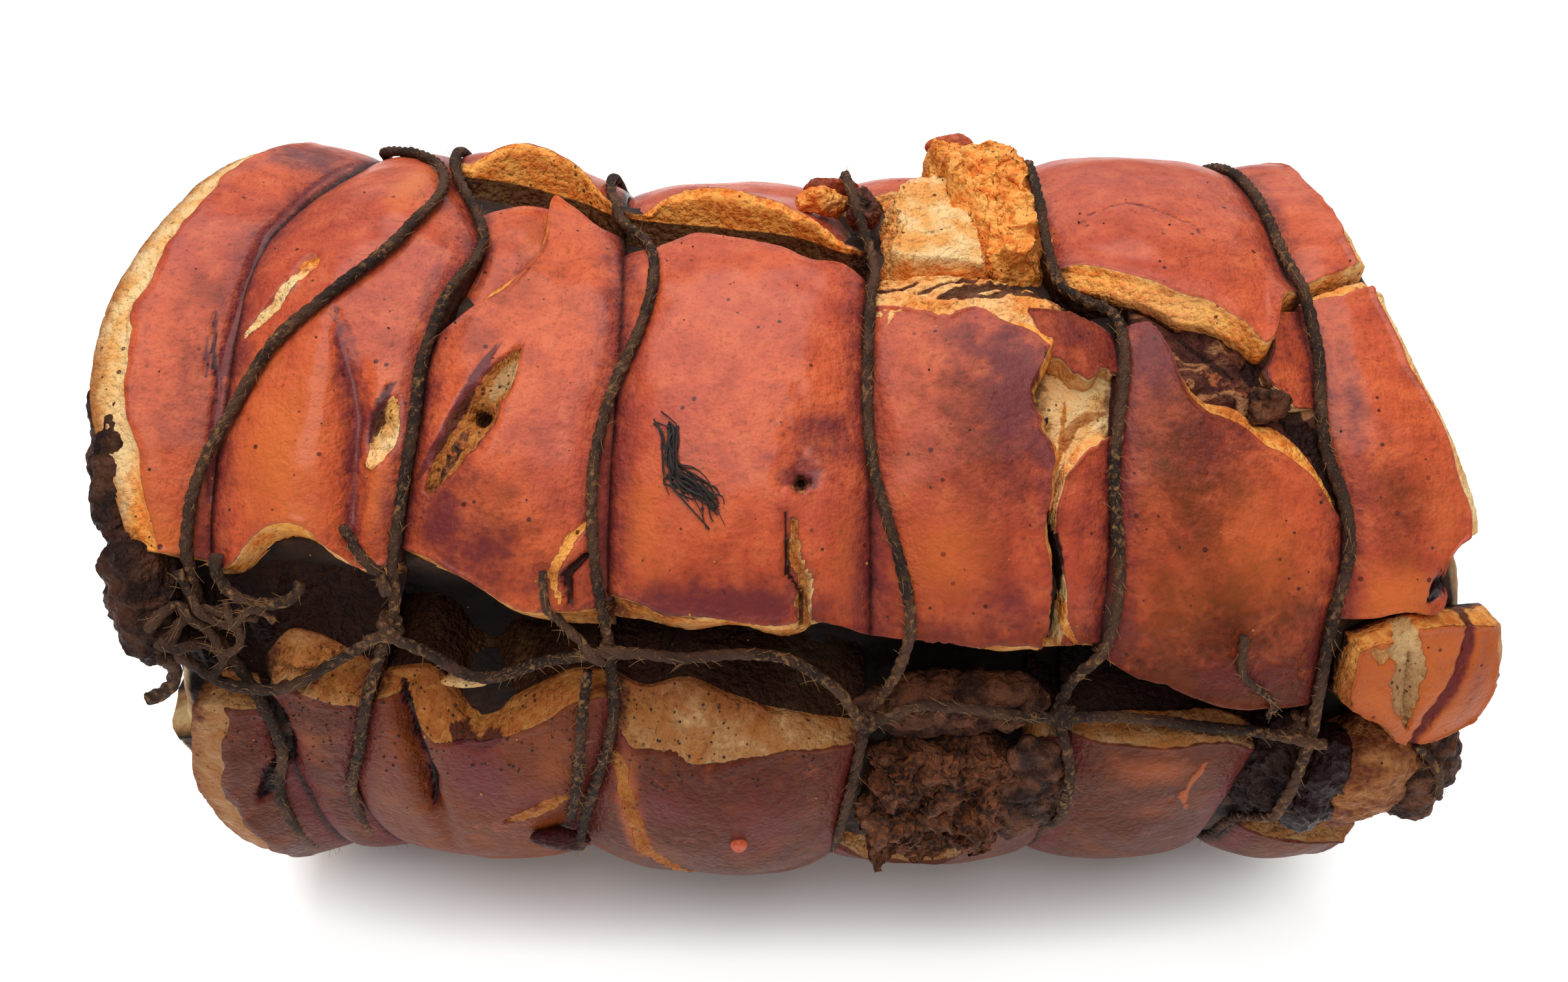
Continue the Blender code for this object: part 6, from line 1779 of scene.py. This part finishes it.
class RindPaint:
    """Roasted skin, the fat and meat under it where it is torn, the browned and burnt places, and painted
    shade.
    """

    BUMP = 0.0009
    COAT = 0.3

    def __init__(self, name: str) -> None:
        """Starts the material and the noises that its layers share."""
        paint = Paint(name)
        self._paint = paint
        self._mottle = paint.noise(150, 5, warp=0.3)
        self._cloudy = paint.noise(60, 4)
        self._fine = paint.noise(650, 3)
        self._pores = paint.noise(1400, 2)
        self._stain = (self._mottle - 0.5) * 1.1 + (self._cloudy - 0.5) * 0.6 + (self._fine - 0.5) * 0.8
        self._browned_and_shaded = paint.tint("brown") * (1.0 + self._stain * 0.8)
        self._grains = paint.specks(560, 0.6, 0.34) * self._cloudy.step(0.44, 0.56)

    def finish(self) -> Material:
        """Lays the layers over each other and returns the material."""
        paint, mottle, fine = self._paint, self._mottle, self._fine
        fat_mask = (paint.tint("fat") + (mottle - 0.5) * 0.35).step(0.42, 0.56)
        meat_mask = (paint.tint("meat") + (mottle - 0.5) * 0.4).step(0.4, 0.6)
        # Near black where the dark tint is strong: char on burnt lumps, and painted shade in grooves, holes
        # and cracks.
        black = (paint.tint("dark") + self._stain * 0.15).step(0.6, 1.0)
        bare = fat_mask.most(meat_mask)
        wrinkle = paint.noise(420, 3, paint.stretched((1.0, 0.4, 0.4), (0.5, 0.2, 0.6)))
        height = fine * 0.7 + wrinkle * 0.8 + mottle * 0.6 + self._pores * 0.3
        height = height + bare * fine * 1.4 - self._grains * bare * 0.5
        return paint.set(
            Base_Color=paint.layers(
                self._skin(),
                (self._fat(), fat_mask),
                (self._meat(), meat_mask),
                (srgb(30, 15, 13), black * 0.92),
            ),
            Roughness=0.42 + bare * 0.14 + (fine - 0.5) * 0.2 + (mottle - 0.5) * 0.3 - black * 0.12,
            Coat_Weight=(1.0 - bare) * (1.0 - paint.tint("brown") * 1.3).most(0.0) * self.COAT,
            Coat_Roughness=0.16,
            Specular_IOR_Level=0.1,
            Normal=paint.bump(height, self.BUMP),
        )

    def _skin(self) -> Wire:
        """The skin's colour: red brown, with amber, brown, plum and dark places and small burnt dots."""
        paint, mottle, stain = self._paint, self._mottle, self._stain
        skin = paint.mix(srgb(184, 75, 48), srgb(204, 90, 50), paint.noise(22, 3, warp=0.5).step(0.36, 0.64))
        lit = paint.tint("brown") * (self._cloudy * 0.5 + mottle * 0.5).step(0.48, 0.62)
        amber = paint.tint("amber") * (1.0 + stain * 0.5)
        plum = paint.tint("plum") * (1.0 + stain * 1.0)
        sunk = paint.tint("dark") + stain * 0.2
        dots = paint.specks(430, 0.72, 0.30) * self._cloudy.step(0.40, 0.56)
        return paint.layers(
            skin,
            (srgb(146, 54, 40), mottle.step(0.46, 0.70) * 0.4),
            (srgb(220, 118, 68), mottle.step(0.52, 0.30) * 0.3),
            (srgb(126, 44, 30), self._fine.step(0.5, 0.74) * 0.35 + self._pores.step(0.56, 0.7) * 0.3),
            # Brown: real browning, and painted shade towards the underside and on the lower front panels.
            (srgb(72, 29, 8), self._browned_and_shaded.step(0.05, 0.95) * 0.96),
            (srgb(128, 64, 22), lit * 0.5),
            (srgb(206, 104, 46), amber.step(0.1, 1.0) * 0.9),
            # Plum: purple stains, and painted shade along the creases and the panels' low edges.
            (srgb(104, 40, 42), plum.step(0.1, 0.95) * 0.92),
            # Dark: painted shade in grooves, holes and cracks, with some char.
            (srgb(52, 20, 20), sunk.step(0.3, 1.0) * 0.92),
            (srgb(70, 26, 20), dots * 0.9),
        )

    def _fat(self) -> Wire:
        """The fat's colour: cream, gold where it crisped, and brown, charred and peppered places."""
        paint, mottle, stain = self._paint, self._mottle, self._stain
        clouds, crisp = self._cloudy * 0.4 + mottle * 0.6, mottle * 0.5 + self._fine * 0.5
        gold = paint.mix(srgb(250, 172, 84), srgb(228, 122, 48), crisp.step(0.4, 0.62))
        return paint.layers(
            paint.mix(srgb(240, 202, 144), srgb(230, 166, 92), clouds.step(0.4, 0.6)),
            (gold, (paint.tint("amber") + stain * 0.35).step(0.1, 0.75)),
            (srgb(150, 82, 40), (paint.tint("raw") + stain * 0.4).step(0.45, 1.05) * 0.85),
            (srgb(250, 214, 152), paint.tint("pale").step(0.2, 0.9)),
            # Browner fat: real browning, and painted shade towards the underside.
            (srgb(132, 74, 36), self._browned_and_shaded.step(0.1, 1.0) * 0.75),
            (srgb(66, 36, 24), self._grains * 0.85),
            (srgb(74, 32, 28), (paint.tint("plum") + stain * 0.6).step(0.45, 0.85) * 0.9),
        )

    def _meat(self) -> Wire:
        """The meat's colour: dark brown with amber flecks, and veins of fat where it is marbled."""
        paint, marbled = self._paint, self._paint.tint("marbled")
        veins = paint.noise(110, 5, paint.stretched((0.35, 1.0, 1.0), (0.0, 0.35, 0.0)), 0.6)
        return paint.layers(
            paint.mix(srgb(104, 64, 44), srgb(46, 28, 22), self._mottle.step(0.36, 0.6)),
            (srgb(176, 98, 54), paint.tint("amber").step(0.1, 1.0) * self._fine.step(0.4, 0.7)),
            (srgb(92, 34, 34), marbled * 0.6),
            (srgb(214, 150, 98), veins.step(0.49, 0.52) * (1.0 - veins.step(0.54, 0.6)) * marbled * 0.8),
        )


class Paints:
    """Every material of the porchetta."""

    # The half sizes, in metres, of the oval round the roast where the floor's painted shadow lies.
    SHADOW_HALVES = (("X", 0.150), ("Y", 0.078))

    def __init__(self) -> None:
        """Makes them all."""
        self.rind = RindPaint("roast_rind").finish()
        self.meat = self._meat()
        self.twine = self._twine()
        self.fibre = Paint("twine_fibre", 0.8).set(Base_Color=srgb(150, 108, 62))
        self.herbs = Paint("dry_herbs", 0.75).set(Base_Color=srgb(38, 28, 24))
        self.pepper = Paint("pepper", 0.7).set(Base_Color=srgb(34, 24, 18))
        self.crumb = Paint("crumb", 0.6).set(Base_Color=srgb(176, 112, 62))
        self.floor = self._paper()

    def _paper(self) -> Material:
        """White paper that glows, with a painted shadow round the roast where its glow fades."""
        paint = Paint("floor", 0.9)
        reach = 0.0
        for axis, half in self.SHADOW_HALVES:
            share = paint.node("ShaderNodeSeparateXYZ", {0: paint.where}, axis) / half
            square = share * share
            reach = square * square + reach
        return paint.set(
            Base_Color=(0.9, 0.9, 0.9),
            Specular_IOR_Level=0.2,
            # Painted shadow: the glow dims almost to nothing close to the roast.
            Emission_Color=paint.mix((0.12, 0.11, 0.1), (1.0, 1.0, 1.0), reach.step(0.4, 1.8)),
            Emission_Strength=0.5,
        )

    @staticmethod
    def _meat() -> Material:
        """Dark roast meat with bands of fat, and painted shade where the core is tinted dark."""
        paint = Paint("roast_meat")
        fat = paint.mix(srgb(216, 178, 120), srgb(170, 118, 66), paint.noise(140, 4).step(0.4, 0.6))
        colour = paint.layers(
            paint.mix(srgb(72, 48, 35), srgb(34, 22, 18), paint.noise(110, 4).step(0.38, 0.62)),
            (srgb(118, 76, 48), paint.tint("strand").step(0.66, 0.95) * 0.5),
            (fat, paint.tint("fat")),
            # Painted shade: near black where the core is tinted dark, most in the open seam.
            (srgb(20, 12, 9), paint.tint("dark").step(0.2, 0.9) * 0.9),
        )
        height = paint.noise(260, 4) + paint.noise(700, 3) * 0.5
        return paint.set(
            Base_Color=colour,
            Roughness=0.42 + paint.noise(90, 2) * 0.3 + paint.tint("dark") * 0.15,
            Specular_IOR_Level=0.2,
            Normal=paint.bump(height, 0.0009),
        )

    @staticmethod
    def _twine() -> Material:
        """Kitchen twine, browned by the oven; paler fibres on its strands' crests, painted shade between
        them.
        """
        paint = Paint("kitchen_twine", 0.75)
        dirt = paint.noise(70, 3)
        hairs = paint.noise(1500, 3).step(0.5, 0.64)
        worn = paint.noise(700, 4).step(0.5, 0.62) * paint.noise(60, 2).step(0.46, 0.6)
        colour = paint.layers(
            paint.mix(srgb(78, 52, 38), srgb(40, 28, 23), dirt.step(0.4, 0.6)),
            (srgb(120, 80, 50), hairs * 0.4),
            (srgb(166, 120, 74), worn * (0.2 + paint.tint("ply") * 0.4)),
            # Painted shade in the valleys between the strands.
            (srgb(34, 27, 25), (1.0 - paint.tint("ply").step(0.0, 0.35)) * 0.6),
        )
        height = paint.noise(900, 3) + paint.noise(2600, 2) * 0.5 + hairs * 0.4
        return paint.set(
            Base_Color=colour,
            Roughness=0.62 + dirt * 0.25,
            Specular_IOR_Level=0.2,
            Normal=paint.bump(height, 0.0006),
        )


class Crumbs:
    """Loose pepper and crumbs on the roast. A size is the smallest and the largest radius, in millimetres."""

    PEPPER = (200, (0.12, 0.34))
    PEPPER_IN_FAT = (420, (0.15, 0.42))
    BROWN = (120, (0.12, 0.38))
    SQUASH = (0.55, 1.25)
    UNEVEN = (0.8, 1.2)
    STAND_OUT = 0.25

    def __init__(self, ground: Ground, limits: Limits) -> None:
        """Takes what the grains lie on and the box that they stay inside."""
        self._ground = ground
        self._limits = limits
        self._chance = np.random.default_rng(11)

    def _scatter(
        self,
        name: str,
        kind: tuple[int, tuple[float, float]],
        sites: Callable[[], tuple[float, float]],
        material: Material,
        slot: str,
    ) -> None:
        """Scatters small rough grains over the surface.

        Args:
            name: The piece's name.
            kind: How many grains, and their sizes.
            sites: Draws a station and an angle.
            material: What the grains are made of.
            slot: A slot name, which it hands on to belongs.
        """
        count, sizes = kind
        bm = bmesh.new()
        for _ in range(count):
            hit, normal = self._ground.facing(*sites())
            radius = self._chance.uniform(*sizes) * MM
            grain = bmesh.ops.create_icosphere(bm, subdivisions=1, radius=radius)["verts"]
            squash = Vector(self._chance.uniform(*self.SQUASH, size=3))
            for vert in grain:
                vert.co = Vector(vert.co * squash) * self._chance.uniform(*self.UNEVEN)
            spin = Matrix.Rotation(self._chance.uniform(0, 6.28), 4, Vector(self._chance.normal(size=3)))
            lift = Matrix.Translation(hit + normal * radius * self.STAND_OUT)
            bmesh.ops.transform(bm, matrix=lift @ spin, verts=grain)
        mesh = mesh_of(bm, name)
        move_corners(mesh, self._limits.keep(corners_of(mesh)))
        belongs(new_object(name, mesh, material), slot)

    def build(self, paints: "Paints") -> None:
        """Scatters pepper and brown crumbs where the photograph shows them."""
        self._scatter("pepper_grains", self.PEPPER, self._anywhere, paints.pepper, "dry_herbs")
        self._scatter("pepper_in_fat", self.PEPPER_IN_FAT, self._lower_fat, paints.pepper, "dry_herbs")
        self._scatter("crumbs", self.BROWN, self._anywhere, paints.crumb, "roast_rind")

    def _anywhere(self) -> tuple[float, float]:
        """Draws a place on the front or the top."""
        return self._chance.uniform(-140, 145), self._chance.uniform(-15, 100)

    def _lower_fat(self) -> tuple[float, float]:
        """Draws a place on the fat along the seam's lower lip."""
        return self._chance.uniform(-130, 10), self._chance.normal(8, 5)


@dataclass(frozen=True)
class Lamp:
    """A rectangular lamp aimed at the roast: its place and sides in metres, and its power in watts."""

    name: str
    spot: tuple[float, float, float]
    sides: tuple[float, float]
    power: float

    def hang(self) -> None:
        """Puts it in the scene."""
        data = bpy.data.lights.new(self.name, "AREA")
        data.shape = "RECTANGLE"
        data.size, data.size_y = self.sides
        data.energy = self.power
        lamp = bpy.data.objects.new(self.name, data)
        towards = Vector((0, 0, AXIS_HEIGHT)) - Vector(self.spot)
        turn = towards.to_track_quat("-Z", "Y").to_matrix().to_4x4()
        lamp.matrix_world = Matrix.Translation(self.spot) @ turn
        bpy.context.scene.collection.objects.link(lamp)
        lamp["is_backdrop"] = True


class Studio:
    """The photograph's camera, floor and light."""

    LAMPS = (
        Lamp("overhead", (-0.1, 0.0, 1.3), (1.8, 0.9), 19.0),
        Lamp("back", (0.1, 1.2, 0.8), (1.8, 0.7), 3.0),
        Lamp("front", (0.0, -1.1, 1.3), (1.8, 0.7), 2.8),
    )
    FLOOR_SIZE = 4.0
    SKY_STRENGTH = 0.25
    NEAREST = 0.01

    def build(self, paints: Paints) -> None:
        """Sets them all up."""
        self._camera()
        self._floor(paints.floor)
        self._world()
        bpy.context.scene.view_settings.view_transform = "Standard"
        for lamp in self.LAMPS:
            lamp.hang()

    def _camera(self) -> None:
        """Looks down at the roast's axis, tilted a little so that the roast stands lower in the picture."""
        lift = np.radians(CAMERA_ELEVATION)
        back = np.array([0.0, -np.cos(lift), np.sin(lift)])
        spot = np.array([0.0, 0.0, AXIS_HEIGHT]) + CAMERA_DISTANCE * back + np.array(MIDDLE)
        right = np.array([1.0, 0.0, 0.0])
        up = np.cross(right, -back)
        tilt = np.arctan(CAMERA_TILT_PIXELS / FOCAL_PIXELS)
        ahead = -np.cos(tilt) * back + np.sin(tilt) * up
        up = np.cross(right, ahead)
        data = bpy.data.cameras.new("photo_camera")
        data.sensor_width = SENSOR_WIDTH
        data.lens = SENSOR_WIDTH * FOCAL_PIXELS / PHOTO_WIDTH
        data.clip_start = self.NEAREST
        camera = bpy.data.objects.new("photo_camera", data)
        pose = Matrix((Vector(right), Vector(up), Vector(-ahead))).transposed().to_4x4()
        pose.translation = Vector(spot)
        camera.matrix_world = pose
        bpy.context.scene.collection.objects.link(camera)
        bpy.context.scene.camera = camera

    def _floor(self, material: Material) -> None:
        """Lays the sheet of paper that the roast stands on."""
        bm = bmesh.new()
        bmesh.ops.create_grid(bm, x_segments=1, y_segments=1, size=self.FLOOR_SIZE)
        new_object("floor", mesh_of(bm, "floor"), material)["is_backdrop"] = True

    def _world(self) -> None:
        """Makes the pale surroundings."""
        world = bpy.data.worlds.new("studio")
        world.use_nodes = True
        background = world.node_tree.nodes["Background"]
        background.inputs["Color"].default_value = (1.0, 1.0, 1.0, 1.0)
        background.inputs["Strength"].default_value = self.SKY_STRENGTH
        bpy.context.scene.world = world


def main() -> None:
    """Builds the whole scene."""
    logging.basicConfig(level=logging.INFO, format="%(message)s")
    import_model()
    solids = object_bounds()
    limits = Limits(*solids)
    paints = Paints()
    roast = []
    for index, (name, shape) in enumerate(SHAPES.items()):
        roast.append(Panel(name, shape, limits, 10.0 * index).build(paints.rind))
    roast.append(Core(limits).build(paints.meat))
    roast += [lump.build(limits, paints.rind) for lump in LUMPS]
    for piece in roast:
        belongs(piece, "roast_rind", "roast")
    ground = Ground(roast)
    Twine(ground, roast, limits, paints).build()
    Tuft(ground, limits).build(paints.herbs)
    Crumbs(ground, limits).build(paints)
    Studio().build(paints)


if __name__ == "__main__":
    main()
